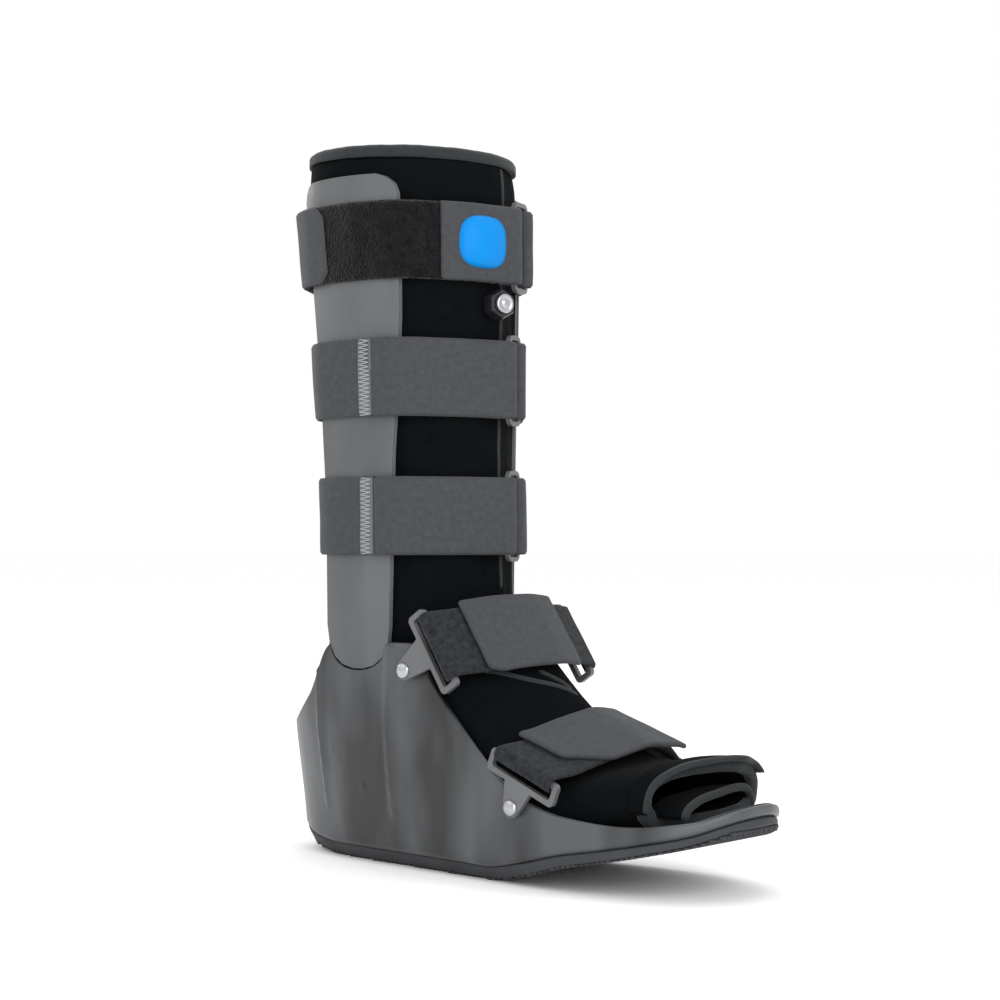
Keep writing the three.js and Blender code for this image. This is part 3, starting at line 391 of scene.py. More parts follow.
def merged_copy(node, name, material=None, flat_angle=0.0):
    """A copy of a CAD node with its shared corners merged and, if wanted, its flat faces joined."""
    piece = bpy.data.objects.new(name, nodes[node].data.copy())
    scene.collection.objects.link(piece)
    work = bmesh.new()
    work.from_mesh(piece.data)
    bmesh.ops.remove_doubles(work, verts=work.verts, dist=1e-5)
    if flat_angle:
        bmesh.ops.dissolve_limit(
            work, angle_limit=flat_angle, verts=work.verts, edges=work.edges, delimit=set()
        )
    for edge in work.edges:
        edge.smooth = True
    work.to_mesh(piece.data)
    work.free()
    for layer in list(piece.data.attributes):
        if layer.name in ("custom_normal", "sharp_edge", "sharp_face"):
            piece.data.attributes.remove(layer)
    piece.data.materials.clear()
    if material:
        piece.data.materials.append(material)
    return piece


def rolled_copy(node, name, material, radius, segments=3, angle=30.0):
    """A copy of a hard CAD node with its edges rolled over."""
    piece = merged_copy(node, name, material, math.radians(2.0))
    bevel = piece.modifiers.new("roll", "BEVEL")
    bevel.width = radius
    bevel.segments = segments
    bevel.limit_method = "ANGLE"
    bevel.angle_limit = math.radians(angle)
    bevel.use_clamp_overlap = True
    bake_modifiers(piece)
    piece.data.shade_smooth()
    keep = piece.modifiers.new("flat", "WEIGHTED_NORMAL")
    keep.keep_sharp = True
    return bake_modifiers(piece)


def surface_of(piece):
    """A search tree over a piece's triangles, to lay details on it."""
    graph = bpy.context.evaluated_depsgraph_get()
    graph.update()
    return BVHTree.FromObject(piece, graph)


# %% [markdown]
# ## Lines and ribbons
#
# A strap is a flat band that keeps its width and thickness while its centre line wanders. The solid
# has two end outlines, one at each edge of the band. Each outline is walked once round, its two short
# ends are found by their sharp corners, and the long side between them gives the centre line.


# %% Reading a strap's centre lines
def length_along(points):
    """The distance from a line's start to each of its points."""
    return np.concatenate([[0.0], np.cumsum(np.linalg.norm(np.diff(points, axis=0), axis=1))])


def resample(points, count):
    """The same line with a given number of evenly spaced points."""
    length = length_along(points)
    wanted = np.linspace(0.0, length[-1], count)
    return np.stack([np.interp(wanted, length, values) for values in points.T], axis=1)


def smooth_line(points, step):
    """Points a fixed step apart on a smooth line through the given ones."""
    points = np.asarray(points, float)
    padded = np.vstack([2 * points[0] - points[1], points, 2 * points[-1] - points[-2]])
    gaps = np.maximum(np.linalg.norm(np.diff(padded, axis=0), axis=1), 1e-7) ** 0.5
    knots = np.concatenate([[0.0], np.cumsum(gaps)])
    fine = []
    for k in range(1, len(padded) - 2):
        p0, p1, p2, p3 = padded[k - 1 : k + 3]
        t0, t1, t2, t3 = knots[k - 1 : k + 3]
        for t in np.linspace(t1, t2, 9)[:-1]:
            a1 = (t1 - t) / (t1 - t0) * p0 + (t - t0) / (t1 - t0) * p1
            a2 = (t2 - t) / (t2 - t1) * p1 + (t - t1) / (t2 - t1) * p2
            a3 = (t3 - t) / (t3 - t2) * p2 + (t - t2) / (t3 - t2) * p3
            b1 = (t2 - t) / (t2 - t0) * a1 + (t - t0) / (t2 - t0) * a2
            b2 = (t3 - t) / (t3 - t1) * a2 + (t - t1) / (t3 - t1) * a3
            fine.append((t2 - t) / (t2 - t1) * b1 + (t - t1) / (t2 - t1) * b2)
    fine.append(padded[-2])
    fine = np.array(fine)
    return resample(fine, max(int(round(length_along(fine)[-1] / step)), 2) + 1)


def cap_outline(work, across, level):
    """The closed outline of a strap solid at one edge of the band, in order."""
    inside = [v for v in work.verts if abs(v.co.dot(across) - level) < 2e-5]
    held = set(inside)
    links = {v: [] for v in inside}
    for edge in work.edges:
        if edge.verts[0] in held and edge.verts[1] in held:
            caps = [all(v in held for v in face.verts) for face in edge.link_faces]
            if caps.count(True) == 1:
                links[edge.verts[0]].append(edge.verts[1])
                links[edge.verts[1]].append(edge.verts[0])
    start = inside[0]
    loop = [start, links[start][0]]
    while True:
        step = [v for v in links[loop[-1]] if v is not loop[-2]]
        if not step or step[0] is start:
            break
        loop.append(step[0])
    return np.array([tuple(v.co) for v in loop])


def centre_line(outline, thickness):
    """The line midway between an outline's two long sides."""
    count = len(outline)
    before = outline - np.roll(outline, 1, axis=0)
    after = np.roll(outline, -1, axis=0) - outline
    cosine = (before * after).sum(1) / (np.linalg.norm(before, axis=1) * np.linalg.norm(after, axis=1))
    sharp = [k for k in range(count) if cosine[k] < 0.45]
    ends = [k for k in sharp if (k + 1) % count in sharp]
    lengths = [abs(np.linalg.norm(after[k]) - thickness) for k in ends]
    first, second = sorted(np.array(ends)[np.argsort(lengths)[:2]])
    side = np.array([outline[k % count] for k in range(first + 1, second + 1)])
    start_middle = (outline[first] + outline[(first + 1) % count]) / 2
    inwards = start_middle - side[0]
    direction = np.gradient(side, axis=0)
    normal = np.cross(direction, np.cross(direction[0], inwards))
    normal /= np.linalg.norm(normal, axis=1)[:, None]
    if np.dot(normal[0], inwards) < 0:
        normal = -normal
    return side + normal * thickness / 2


def strap_lines(node, across, thickness, step):
    """The centre lines of a strap at its two edges, with the same number of points."""
    work = bmesh.new()
    work.from_mesh(nodes[node].data)
    bmesh.ops.remove_doubles(work, verts=work.verts, dist=1e-5)
    across = Vector(across).normalized()
    levels = [v.co.dot(across) for v in work.verts]
    low, high = [
        smooth_line(centre_line(cap_outline(work, across, level), thickness), step)
        for level in (min(levels), max(levels))
    ]
    work.free()
    if np.linalg.norm(low[0] - high[0]) > np.linalg.norm(low[0] - high[-1]):
        high = high[::-1]
    return low, resample(high, len(low))


# %% [markdown]
# A ribbon is then a closed skin round those lines. Its edges are rolled, its corners may be clipped,
# and a little uneven swell keeps it from looking machined. Its UV map is in metres, so that a weave
# keeps the same thread size on every strap.


# %% Building a ribbon
def ribbon(name, low, high, thickness, material, **look):
    """A flat band between two edge lines.

    clip is how much is cut from the corners at the start and end, crown how far its middle swells,
    wave how uneven it lies, and columns how many points it has across.
    """
    clip = look.get("clip", (0.0, 0.0))
    crown = look.get("crown", 0.0)
    wave = look.get("wave", 0.00025)
    columns = look.get("columns", 22)
    low, high = np.asarray(low), np.asarray(high)
    rows = len(low)
    middle = (low + high) / 2
    along = np.gradient(middle, axis=0)
    along /= np.linalg.norm(along, axis=1)[:, None]
    width = high - low
    normal = np.cross(along, width)
    normal /= np.linalg.norm(normal, axis=1)[:, None]
    length = length_along(middle)
    shares = (1 - np.cos(np.linspace(0, math.pi, columns))) / 2
    shares = 0.35 * shares + 0.65 * np.linspace(0, 1, columns)
    points, map_points = [], []
    for side in (1, -1):
        for r in range(rows):
            wide = np.linalg.norm(width[r])
            cut = 0.0
            for end, far in ((0, length[r]), (1, length[-1] - length[r])):
                cut = max(cut, clip[end] - far) if clip[end] else cut
            from_end = min(length[r], length[-1] - length[r]) / (thickness / 2)
            end_roll = math.sqrt(max(1 - max(1 - from_end, 0) ** 2, 0))
            for share in shares:
                inset = cut / wide
                v = inset + share * (1 - 2 * inset)
                from_edge = min(share, 1 - share) * wide / (thickness / 2)
                roll = math.sqrt(max(1 - max(1 - from_edge, 0) ** 2, 0)) * end_roll
                at = low[r] + width[r] * v
                swell = crown * math.sin(math.pi * share) ** 0.6 * min(from_end / 6, 1)
                uneven = wave * noise.noise(Vector(at) * 60.0)
                offset = side * (thickness / 2) * roll + uneven + (swell if side > 0 else 0.0)
                points.append(at + normal[r] * offset)
                map_points.append((length[r], v * wide))
    faces = []
    half = rows * columns
    for r in range(rows - 1):
        for c in range(columns - 1):
            a = r * columns + c
            b = a + columns
            faces.append((a, a + 1, b + 1, b))
            faces.append((half + a, half + b, half + b + 1, half + a + 1))
    for r in range(rows - 1):
        for c in (0, columns - 1):
            a = r * columns + c
            faces.append((a, a + columns, half + a + columns, half + a))
    for c in range(columns - 1):
        for r in (0, rows - 1):
            a = r * columns + c
            faces.append((a, a + 1, half + a + 1, half + a))
    mesh = bpy.data.meshes.new(name)
    mesh.from_pydata([tuple(p) for p in points], [], faces)
    layer = mesh.uv_layers.new(name="metres")
    for loop in mesh.loops:
        layer.data[loop.index].uv = map_points[loop.vertex_index]
    piece = bpy.data.objects.new(name, mesh)
    scene.collection.objects.link(piece)
    close_skin(mesh, 2e-6)
    mesh.materials.append(material)
    return piece


# %% [markdown]
# ## Shell and sole
#
# The shell and the sole share one outline in plan. It is narrow at the floor and follows the ankle
# higher up, so the outline is blended between two short tables of shares. Every column of points then
# runs from the seam up to the rim, over it, and down the inside to the floor of the boot. That keeps
# the wall even and lets the rim be round, which a cut solid can't do.

# %% Sizes and outlines of the shell
MM = 0.001
boot_length = 347 * MM
toe_spring = 40 * MM
ball_width = 116 * MM
ankle_width = 120 * MM
ankle_height = 135 * MM
shell_wall = 3.6 * MM
shell_floor = 4 * MM
outsole_heel = 9 * MM
outsole_toe = 5 * MM
fit_gap = 0.3 * MM
sole_roll = 9 * MM
sole_roll_height = 15 * MM

# Shares along the boot, and of half the width there
sole_plan = np.array([
    (0.017, 0), (0.037, 0.38), (0.095, 0.655), (0.19, 0.79), (0.33, 0.86), (0.5, 0.94),
    (0.65, 1), (0.79, 0.98), (0.9, 0.83), (0.972, 0.5), (1, 0),
])
ankle_plan = np.array([
    (0, 0), (0.02, 0.45), (0.081, 0.77), (0.175, 0.95), (0.275, 1), (0.4, 0.945),
    (0.6, 0.935), (0.76, 0.94), (0.9, 0.79), (0.972, 0.48), (1, 0),
])
# Shares along the boot, and of the toe spring or the ankle height
rocker = [
    (0, 0.36), (0.049, 0.16), (0.103, 0.055), (0.172, 0), (0.539, 0), (0.623, 0.12),
    (0.715, 0.335), (0.795, 0.475), (0.87, 0.615), (0.939, 0.765), (1, 1),
]
shell_edge = [
    (0, 0.6), (0.051, 0.62), (0.13, 0.75), (0.19, 0.975), (0.213, 1), (0.392, 1), (0.436, 0.838),
    (0.496, 0.667), (0.562, 0.504), (0.597, 0.434), (0.648, 0.363), (0.722, 0.316),
    (0.827, 0.297), (0.949, 0.33), (1, 0.385),
]


def smooth_table(rows):
    """A line through a table's rows that never overshoots them."""
    rows = np.array(rows, float)
    at, values = rows[:, 0], rows[:, 1]
    steps = np.diff(values) / np.diff(at)
    slopes = np.zeros(len(at))
    slopes[0], slopes[-1] = steps[0], steps[-1]
    for k in range(1, len(at) - 1):
        if steps[k - 1] * steps[k] > 0:
            slopes[k] = 2 * steps[k - 1] * steps[k] / (steps[k - 1] + steps[k])

    def value(x):
        x = np.clip(np.asarray(x, float), at[0], at[-1])
        k = np.clip(np.searchsorted(at, x, side="right") - 1, 0, len(at) - 2)
        span = at[k + 1] - at[k]
        t = (x - at[k]) / span
        rise = values[k + 1] - values[k]
        bend = slopes[k] * (1 - t) - slopes[k + 1] * t
        return values[k] + rise * t + t * (1 - t) * (bend * span - ((1 - t) * rise - t * rise))

    return value


rocker_at = smooth_table(rocker)
edge_at = smooth_table(shell_edge)


def along_at(x):
    """Share along the boot of a length in the frame."""
    return np.asarray(x) / boot_length + 0.5


def sole_bottom(x):
    """Height of the sole's underside."""
    return rocker_at(along_at(x)) * toe_spring


def seam_height(x):
    """Height of the seam between the rubber sole and the shell."""
    toe_share = np.maximum(along_at(x) * 2 - 1, 0)
    return sole_bottom(x) + outsole_heel + (outsole_toe - outsole_heel) * toe_share


def closed_curve(points, count):
    """Evenly spaced points on a smooth closed curve in plan."""
    points = np.asarray(points, float)
    turns = len(points)
    fine = []
    for k in range(turns):
        p0, p1, p2, p3 = (points[(k + j) % turns] for j in (-1, 0, 1, 2))
        g1, g2, g3 = (np.linalg.norm(b - a) ** 0.5 for a, b in ((p0, p1), (p1, p2), (p2, p3)))
        m1 = (p2 - p1) / g2 - (p2 - p0) / (g1 + g2) + (p1 - p0) / g1
        m2 = (p3 - p2) / g3 - (p3 - p1) / (g2 + g3) + (p2 - p1) / g2
        m1, m2 = m1 * g2, m2 * g2
        for t in np.linspace(0, 1, 25)[:-1]:
            a = 2 * t**3 - 3 * t**2 + 1
            fine.append(a * p1 + (t**3 - 2 * t**2 + t) * m1 + (1 - a) * p2 + (t**3 - t**2) * m2)
    return resample(np.array(fine + [fine[0]]), count + 1)[:-1]


plan_columns = 460
plan_levels = np.linspace(0, ankle_height, 46)


def plan_outline(z):
    """The outline at a height: half of it is mirrored to the other side."""
    t = np.clip(z / (ankle_height * 0.75), 0, 1)
    blend = t * t * (3 - 2 * t)
    x = ((1 - blend) * sole_plan[:, 0] + blend * ankle_plan[:, 0] - 0.5) * boot_length
    half = (1 - blend) * sole_plan[:, 1] * ball_width / 2 + blend * ankle_plan[:, 1] * ankle_width / 2
    mirrored = np.stack([x[1:-1][::-1], -half[1:-1][::-1]], axis=1)
    return closed_curve(np.vstack([np.stack([x, half], axis=1), mirrored]), plan_columns)


plan_rings = np.array([plan_outline(z) for z in plan_levels])


def plan_point(column, z, inset=0.0):
    """A point of the outline's column at a height, moved inwards by an inset."""
    level = np.clip(z / ankle_height, 0, 1) * (len(plan_levels) - 1)
    low = int(min(level, len(plan_levels) - 2))
    share = level - low
    ring = plan_rings[low] * (1 - share) + plan_rings[low + 1] * share
    here = ring[column]
    along = ring[(column + 1) % plan_columns] - ring[column - 1]
    along /= np.linalg.norm(along)
    return np.array([here[0] - along[1] * -inset, here[1] + along[0] * -inset])


print("outline:", plan_columns, "columns,", len(plan_levels), "levels")

# %% [markdown]
# The shell's outside isn't plain. A wide rib runs up to the shell's top in front of each upright, a
# thin one behind it, and between them the wall is let in a little where the upright's socket is. Two
# fine lines and a moulding dot mark the socket's lower half.

# %% The shell
front_rib = (0.331 - 0.5) * boot_length + 4 * MM
rear_rib = (0.158 - 0.5) * boot_length + 1.1 * MM


def bump_at(distance, half_width, shoulder):
    """1 within half a width of a line, falling smoothly to 0 over a shoulder."""
    t = np.clip((half_width + shoulder - abs(distance)) / shoulder, 0, 1)
    return t * t * (3 - 2 * t)


def relief_at(x, z):
    """How far the shell's outside stands out at a length and height."""
    low = ankle_height * 0.2
    rise = np.clip((z - low) / (9 * MM), 0, 1)
    front = 1.9 * MM * bump_at(x - front_rib, 2.4 * MM, 1.7 * MM)
    rear = 1.1 * MM * bump_at(x - rear_rib, 0.5 * MM, 1.4 * MM)
    socket = (rear_rib + front_rib) / 2
    half = (front_rib - rear_rib) / 2 - 6 * MM
    let_in = -0.9 * MM * bump_at(x - socket, half, 3 * MM) * np.clip((z - low) / (30 * MM), 0, 1)
    lines = 0.0
    for height in (63 * MM, 70 * MM):
        lines += 0.35 * MM * bump_at(z - height, 0.5 * MM, 0.8 * MM) * bump_at(x - socket, half, 2 * MM)
    dot_far = math.hypot(x - (socket + 5 * MM), z - 47 * MM)
    dot = 0.8 * MM * float(bump_at(dot_far, 1.2 * MM, 1.2 * MM))
    return (front + rear) * rise + let_in + lines + dot


def shell_profile(column):
    """Points of one column: up the outside, round the rim and down the inside."""
    z = ankle_height
    for _ in range(6):
        x = plan_point(column, z)[0]
        z = float(edge_at(along_at(x))) * ankle_height
    rim = z
    foot = float(seam_height(plan_point(column, 0.03)[0])) + fit_gap
    profile = []
    outside_steps = 44
    for k in range(outside_steps):
        height = foot + (rim - shell_wall / 2 - foot) * k / (outside_steps - 1)
        x, _ = plan_point(column, height)
        lower = 2.2 * MM * max(1 - (height - foot) / (3 * MM), 0) ** 2
        profile.append((height, -float(relief_at(x, height)) + lower))
    for turned in np.linspace(0, math.pi, 9)[1:-1]:
        profile.append((
            rim - shell_wall / 2 + math.sin(turned) * shell_wall / 2,
            shell_wall / 2 * (1 - math.cos(turned)),
        ))
    inner_foot = foot + shell_floor
    for k in range(14):
        height = rim - shell_wall / 2 - (rim - shell_wall / 2 - inner_foot - 3 * MM) * k / 13
        profile.append((height, shell_wall))
    for turned in np.linspace(0, math.pi / 2, 5)[1:]:
        profile.append((
            inner_foot + 3 * MM * (1 - math.sin(turned)),
            shell_wall + 3 * MM * (1 - math.cos(turned)),
        ))
    return [(*plan_point(column, max(height, 0), inset), height) for height, inset in profile]


def closed_columns(columns, floor_rows):
    """Faces that join neighbouring columns, and fill the first and last rows across the boot."""
    rows = len(columns[0])
    count = len(columns)
    points = [p for column in columns for p in column]
    faces = ring_faces(count, rows)
    half = count // 2
    for row, height_at in floor_rows:
        strips = []
        for c in range(half + 1):
            left, right = np.array(columns[c][row]), np.array(columns[(count - c) % count][row])
            strip = [c * rows + row]
            for share in (0.25, 0.5, 0.75):
                at = left + (right - left) * share
                points.append((at[0], at[1], height_at(at[0])))
                strip.append(len(points) - 1)
            strip.append(((count - c) % count) * rows + row)
            strips.append(strip)
        for a, b in zip(strips, strips[1:]):
            for k in range(4):
                faces.append((a[k], a[k + 1], b[k + 1], b[k]))
    return points, faces


shell_columns = [shell_profile(c) for c in range(plan_columns)]
shell_points, shell_faces = closed_columns(
    shell_columns,
    (
        (0, lambda x: float(seam_height(x)) + fit_gap),
        (len(shell_columns[0]) - 1, lambda x: float(seam_height(x)) + fit_gap + shell_floor),
    ),
)
shell = new_piece("moulded_shell", shell_points, shell_faces, finishes["shell"])
print("shell:", len(shell.data.polygons), "faces")


# %% Sockets for the uprights
def socket_outline():
    """The notch that an upright's round foot stands in, seen from the side."""
    work = bmesh.new()
    work.from_mesh(nodes["upright_right"].data)
    foot = [v.co for v in work.verts if v.co.z < ankle_height * 1.06]
    levels = sorted({round(co.z, 5) for co in foot})
    rear, front = [], []
    for level in levels:
        row = [co.x for co in foot if abs(co.z - level) < 1e-5]
        rear.append((min(row) - 2 * fit_gap, level - 2 * fit_gap))
        front.append((max(row) + 2 * fit_gap, level - 2 * fit_gap))
    work.free()
    top = ankle_height * 1.3
    line = rear[::-1] + front
    line = smooth_line([(x, 0, z) for x, z in line], 1.2 * MM)
    outline = [(p[0], p[2]) for p in line]
    return outline + [(outline[-1][0], top), (outline[0][0], top)]


def cut_away(piece, outline, half_width):
    """Cuts a side outline through a piece."""
    count = len(outline)
    points = [(x, side * half_width, z) for side in (-1, 1) for x, z in outline]
    faces = [tuple(range(count)), tuple(range(2 * count - 1, count - 1, -1))]
    faces += [(k, count + k, count + (k + 1) % count, (k + 1) % count) for k in range(count)]
    cutter = new_piece("cutter", points, faces)
    cut = piece.modifiers.new("cut", "BOOLEAN")
    cut.operation = "DIFFERENCE"
    cut.solver = "EXACT"
    cut.object = cutter
    bake_modifiers(piece)
    bpy.data.objects.remove(cutter)
    return piece


cut_away(shell, socket_outline(), ankle_width)
shell.data.shade_smooth()
dress(shell, BOOT, "shell", "shell")
print("shell with sockets:", len(shell.data.polygons), "faces")

# %% [markdown]
# ## The rubber sole
#
# The sole is a slab between the seam and the rocker's curve, with its lower edge rolled under. Its
# tread is a row of narrow bars across the boot, which Geometry Nodes lay further on.

# %% The sole's slab
tread_depth = 1.6 * MM
sole_inset = shell_wall / 4


def sole_profile(column):
    """Points of one column of the sole's side, from the tread up to the seam."""
    x, _ = plan_point(column, 0.02)
    top = float(seam_height(x))
    low = float(sole_bottom(x)) + tread_depth * 0.9
    profile = []
    for k in range(9):
        height = low + (top - low) * k / 8
        roll = sole_roll * max(1 - max(height, 0) / sole_roll_height, 0) ** 1.6
        edge = 0.8 * MM * max(1 - (top - height) / (1.2 * MM), 0) ** 2
        profile.append((height, sole_inset + roll + edge))
    return [(*plan_point(column, max(height, 0), inset), height) for height, inset in profile]


sole_columns = [sole_profile(c) for c in range(plan_columns)]
sole_points, sole_faces = closed_columns(
    sole_columns,
    (
        (0, lambda x: float(sole_bottom(x)) + tread_depth * 0.9),
        (len(sole_columns[0]) - 1, lambda x: float(seam_height(x))),
    ),
)
sole = new_piece("rubber_sole", sole_points, sole_faces, finishes["outsole"])
print("sole:", len(sole.data.polygons), "faces")

# %% [markdown]
# A Geometry Nodes tree is built once and used for every row of small things: it puts one small shape
# on each point of a line, turns it with the line, and makes the copies real. Stitches use it too.


# %% A tree that lays small shapes along a line
def make_row_tree():
    """Lays copies of an object on a mesh line's points, facing along it."""
    tree = bpy.data.node_groups.new("row of shapes", "GeometryNodeTree")
    face = tree.interface
    face.new_socket("Geometry", in_out="INPUT", socket_type="NodeSocketGeometry")
    for label, kind in (
        ("Shape", "NodeSocketObject"),
        ("Spacing", "NodeSocketFloat"),
        ("Scale", "NodeSocketVector"),
        ("Turn", "NodeSocketFloat"),
        ("Unevenness", "NodeSocketFloat"),
        ("Seed", "NodeSocketInt"),
        ("Material", "NodeSocketMaterial"),
    ):
        face.new_socket(label, in_out="INPUT", socket_type=kind)
    face.new_socket("Geometry", in_out="OUTPUT", socket_type="NodeSocketGeometry")
    given = tree.nodes.new("NodeGroupInput").outputs
    output = tree.nodes.new("NodeGroupOutput")
    curve = add_node(tree, "GeometryNodeMeshToCurve", {"Mesh": given["Geometry"]})
    row = add_node(tree, "GeometryNodeCurveToPoints", {"Curve": curve.outputs[0]}, mode="LENGTH")
    tree.links.new(given["Spacing"], row.inputs["Length"])
    shape = add_node(tree, "GeometryNodeObjectInfo", {"Object": given["Shape"]})
    jitter = add_node(tree, "FunctionNodeRandomValue", {"Seed": given["Seed"]}, data_type="FLOAT")
    jitter.inputs[2].default_value = -1.0
    jitter.inputs[3].default_value = 1.0
    swing = math_node(tree, "MULTIPLY", jitter.outputs[1], given["Unevenness"])
    angle = math_node(tree, "ADD", swing, given["Turn"])
    spin = add_node(tree, "ShaderNodeCombineXYZ", {"Y": angle})
    turned = add_node(
        tree,
        "FunctionNodeRotateRotation",
        {"Rotation": row.outputs["Rotation"], "Rotate By": spin.outputs[0]},
        rotation_space="LOCAL",
    )
    placed = add_node(
        tree,
        "GeometryNodeInstanceOnPoints",
        {
            "Points": row.outputs["Points"],
            "Instance": shape.outputs["Geometry"],
            "Rotation": turned.outputs[0],
            "Scale": given["Scale"],
        },
    )
    real = add_node(tree, "GeometryNodeRealizeInstances", {"Geometry": placed.outputs[0]})
    painted = add_node(
        tree, "GeometryNodeSetMaterial", {"Geometry": real.outputs[0], "Material": given["Material"]}
    )
    tree.links.new(painted.outputs[0], output.inputs[0])
    return tree


row_tree = make_row_tree()


def small_shape(name, build):
    """A small shape at the origin, left out of the scene, for rows to copy."""
    mesh = bpy.data.meshes.new(name)
    work = bmesh.new()
    build(work)
    work.to_mesh(mesh)
    work.free()
    mesh.shade_smooth()
    return bpy.data.objects.new(name, mesh)


def make_thread(work):
    """A ball one unit across, which its row stretches into a thread."""
    bmesh.ops.create_uvsphere(work, u_segments=6, v_segments=5, radius=0.5)


def make_bar(work):
    """A block one unit each way, with all its edges rolled."""
    bmesh.ops.create_cube(work, size=1.0)
    bmesh.ops.bevel(work, geom=list(work.edges), offset=0.18, segments=1, affect="EDGES")


thread_shape = small_shape("thread", make_thread)
bar_shape = small_shape("bar", make_bar)


def row_of(name, lines, shape, material, **sizes):
    """One mesh of copies of a small shape, laid along each of the lines."""
    points, edges = [], []
    for line in lines:
        first = len(points)
        points += [tuple(p) for p in line]
        edges += [(first + k, first + k + 1) for k in range(len(line) - 1)]
    mesh = bpy.data.meshes.new(name)
    mesh.from_pydata(points, edges, [])
    piece = bpy.data.objects.new(name, mesh)
    scene.collection.objects.link(piece)
    layer = piece.modifiers.new("row", "NODES")
    layer.node_group = row_tree
    wanted = {
        "Shape": shape,
        "Spacing": sizes["spacing"],
        "Scale": sizes["scale"],
        "Turn": sizes.get("turn", 0.0),
        "Unevenness": sizes.get("unevenness", 0.0),
        "Seed": sizes.get("seed", 1),
        "Material": material,
    }
    for item in row_tree.interface.items_tree:
        if item.in_out == "INPUT" and item.name in wanted:
            layer[item.identifier] = wanted[item.name]
    bake_modifiers(piece)
    if not piece.data.materials:
        piece.data.materials.append(material)
    piece.data.shade_smooth()
    return piece


# %% [markdown]
# ## Straps
#
# Each leg strap is one band: its free end laps back over the front, turns round the ring's front bar,
# runs round the back, and is sewn to the ring's rear bar. The foot straps are short webbing loops with
# a pad over them. All follow the lines of the frame.

# %% Leg straps
strap_thickness = 2.2 * MM
strap_step = 1.6 * MM
upwards = (0, 0, 1)


def matched(first, second):
    """Two lines with the same number of points."""
    count = max(len(first), len(second))
    return resample(first, count), resample(second, count)


def lay_strap(node, name, slot, **look):
    """A strap rebuilt along the lines of its CAD solid."""
    low, high = strap_lines(node, look.pop("across", upwards), strap_thickness, strap_step)
    piece = ribbon(name, low, high, strap_thickness, finishes[slot], **look)
    dress(piece, BOOT, slot, node)
    print(name, "is", round(len(low) * strap_step * 1000), "mm long,", len(piece.data.polygons), "faces")
    return piece


lay_strap("strap_low", "leg_strap_low", "strap", crown=0.4 * MM)
lay_strap("strap_mid", "leg_strap_mid", "strap", crown=0.4 * MM)
lay_strap("strap_top", "leg_strap_top", "strap", clip=(7 * MM, 0.0), crown=0.4 * MM)
lay_strap("strap_top_pile", "loop_band", "pile", wave=0.0006, crown=0.3 * MM)
lay_strap("strap_top_panel", "front_panel", "strap", crown=0.5 * MM)
foot_lean = math.radians(-56.6)
toe_lean = math.radians(-22.2)
lay_strap(
    "strap_ankle", "ankle_webbing", "webbing", across=(math.cos(foot_lean), 0, math.sin(foot_lean))
)
lay_strap("strap_toe", "toe_webbing", "webbing", across=(math.cos(toe_lean), 0, math.sin(toe_lean)))

# %% Rings and the valve's bezel
for node in ("ring_low", "ring_mid", "ring_top"):
    dress(rolled_copy(node, node.replace("ring", "buckle"), finishes["ring"], 0.9 * MM), BOOT, "ring", node)
for hand in ("right", "left"):
    for place in ("ankle", "toe"):
        node = f"ring_{place}_{hand}"
        piece = rolled_copy(node, f"slot_ring_{place}_{hand}", finishes["ring"], 0.9 * MM)
        dress(piece, BOOT, "ring", node)
dress(rolled_copy("valve_bezel", "bezel", finishes["bezel"], 0.5 * MM, 2), BOOT, "bezel", "valve_bezel")
print("hard trim: 3 leg rings, 4 slot rings and the valve's bezel")

# %% [markdown]
# The tread is laid one bar at a time. Each bar is a short line across the sole, as wide as the sole is
# there, and the row tree fills it with abutting blocks.

# %% The tread
bar_width = 2.4 * MM
bar_pitch = 3.7 * MM
block_length = 5 * MM
sole_edge = np.array([column[0] for column in sole_columns])
sole_edge = sole_edge[sole_edge[:, 1] > 0]
sole_edge = sole_edge[np.argsort(sole_edge[:, 0])]
bar_lines = []
for x in np.arange(sole_edge[0, 0] + 4 * MM, sole_edge[-1, 0] - 3 * MM, bar_pitch):
    half = float(np.interp(x, sole_edge[:, 0], sole_edge[:, 1])) - 2.0 * MM
    blocks = max(int(2 * half / block_length), 1)
    reach = blocks * block_length / 2
    z = float(sole_bottom(x)) + 0.9 * MM
    bar_lines.append([(x, -reach, z), (x, reach, z)])
dress(sole, BOOT, "outsole", "outsole")
tread = row_of(
    "tread_bars", bar_lines, bar_shape, finishes["outsole"],
    spacing=block_length, scale=(bar_width, 1.8 * MM, block_length * 1.02),
)
dress(tread, BOOT, "outsole")
tread_low = min(v.co.z for v in tread.data.vertices)
print("tread:", len(bar_lines), "bars, lowest point", round(tread_low * 1000, 2), "mm")

# %% [markdown]
# ## Uprights, rivets, bulb and valve
#
# An upright is one bent plate, so rolled edges are enough. Round hard things are turned on a lathe: a
# short profile is spun about an axis. The bulb is a soft dome with a rounded square outline.

# %% Uprights
for hand in ("right", "left"):
    node = f"upright_{hand}"
    dress(rolled_copy(node, f"side_{node}", finishes["upright"], 1.3 * MM, 4, 40.0), BOOT, "upright", node)


# %% Turned pieces
def turned(name, centre, axis, profile, material, steps=40):
    """A profile of (radius, distance along the axis) rows spun about the axis."""
    axis = Vector(axis).normalized()
    side = axis.orthogonal().normalized()
    other = axis.cross(side)
    points = []
    for k in range(steps):
        turn = 2 * math.pi * k / steps
        spoke = side * math.cos(turn) + other * math.sin(turn)
        points += [tuple(Vector(centre) + spoke * radius + axis * far) for radius, far in profile]
    piece = new_piece(name, points, ring_faces(steps, len(profile)), material)
    keep = piece.modifiers.new("flat", "WEIGHTED_NORMAL")
    keep.keep_sharp = True
    return bake_modifiers(piece)


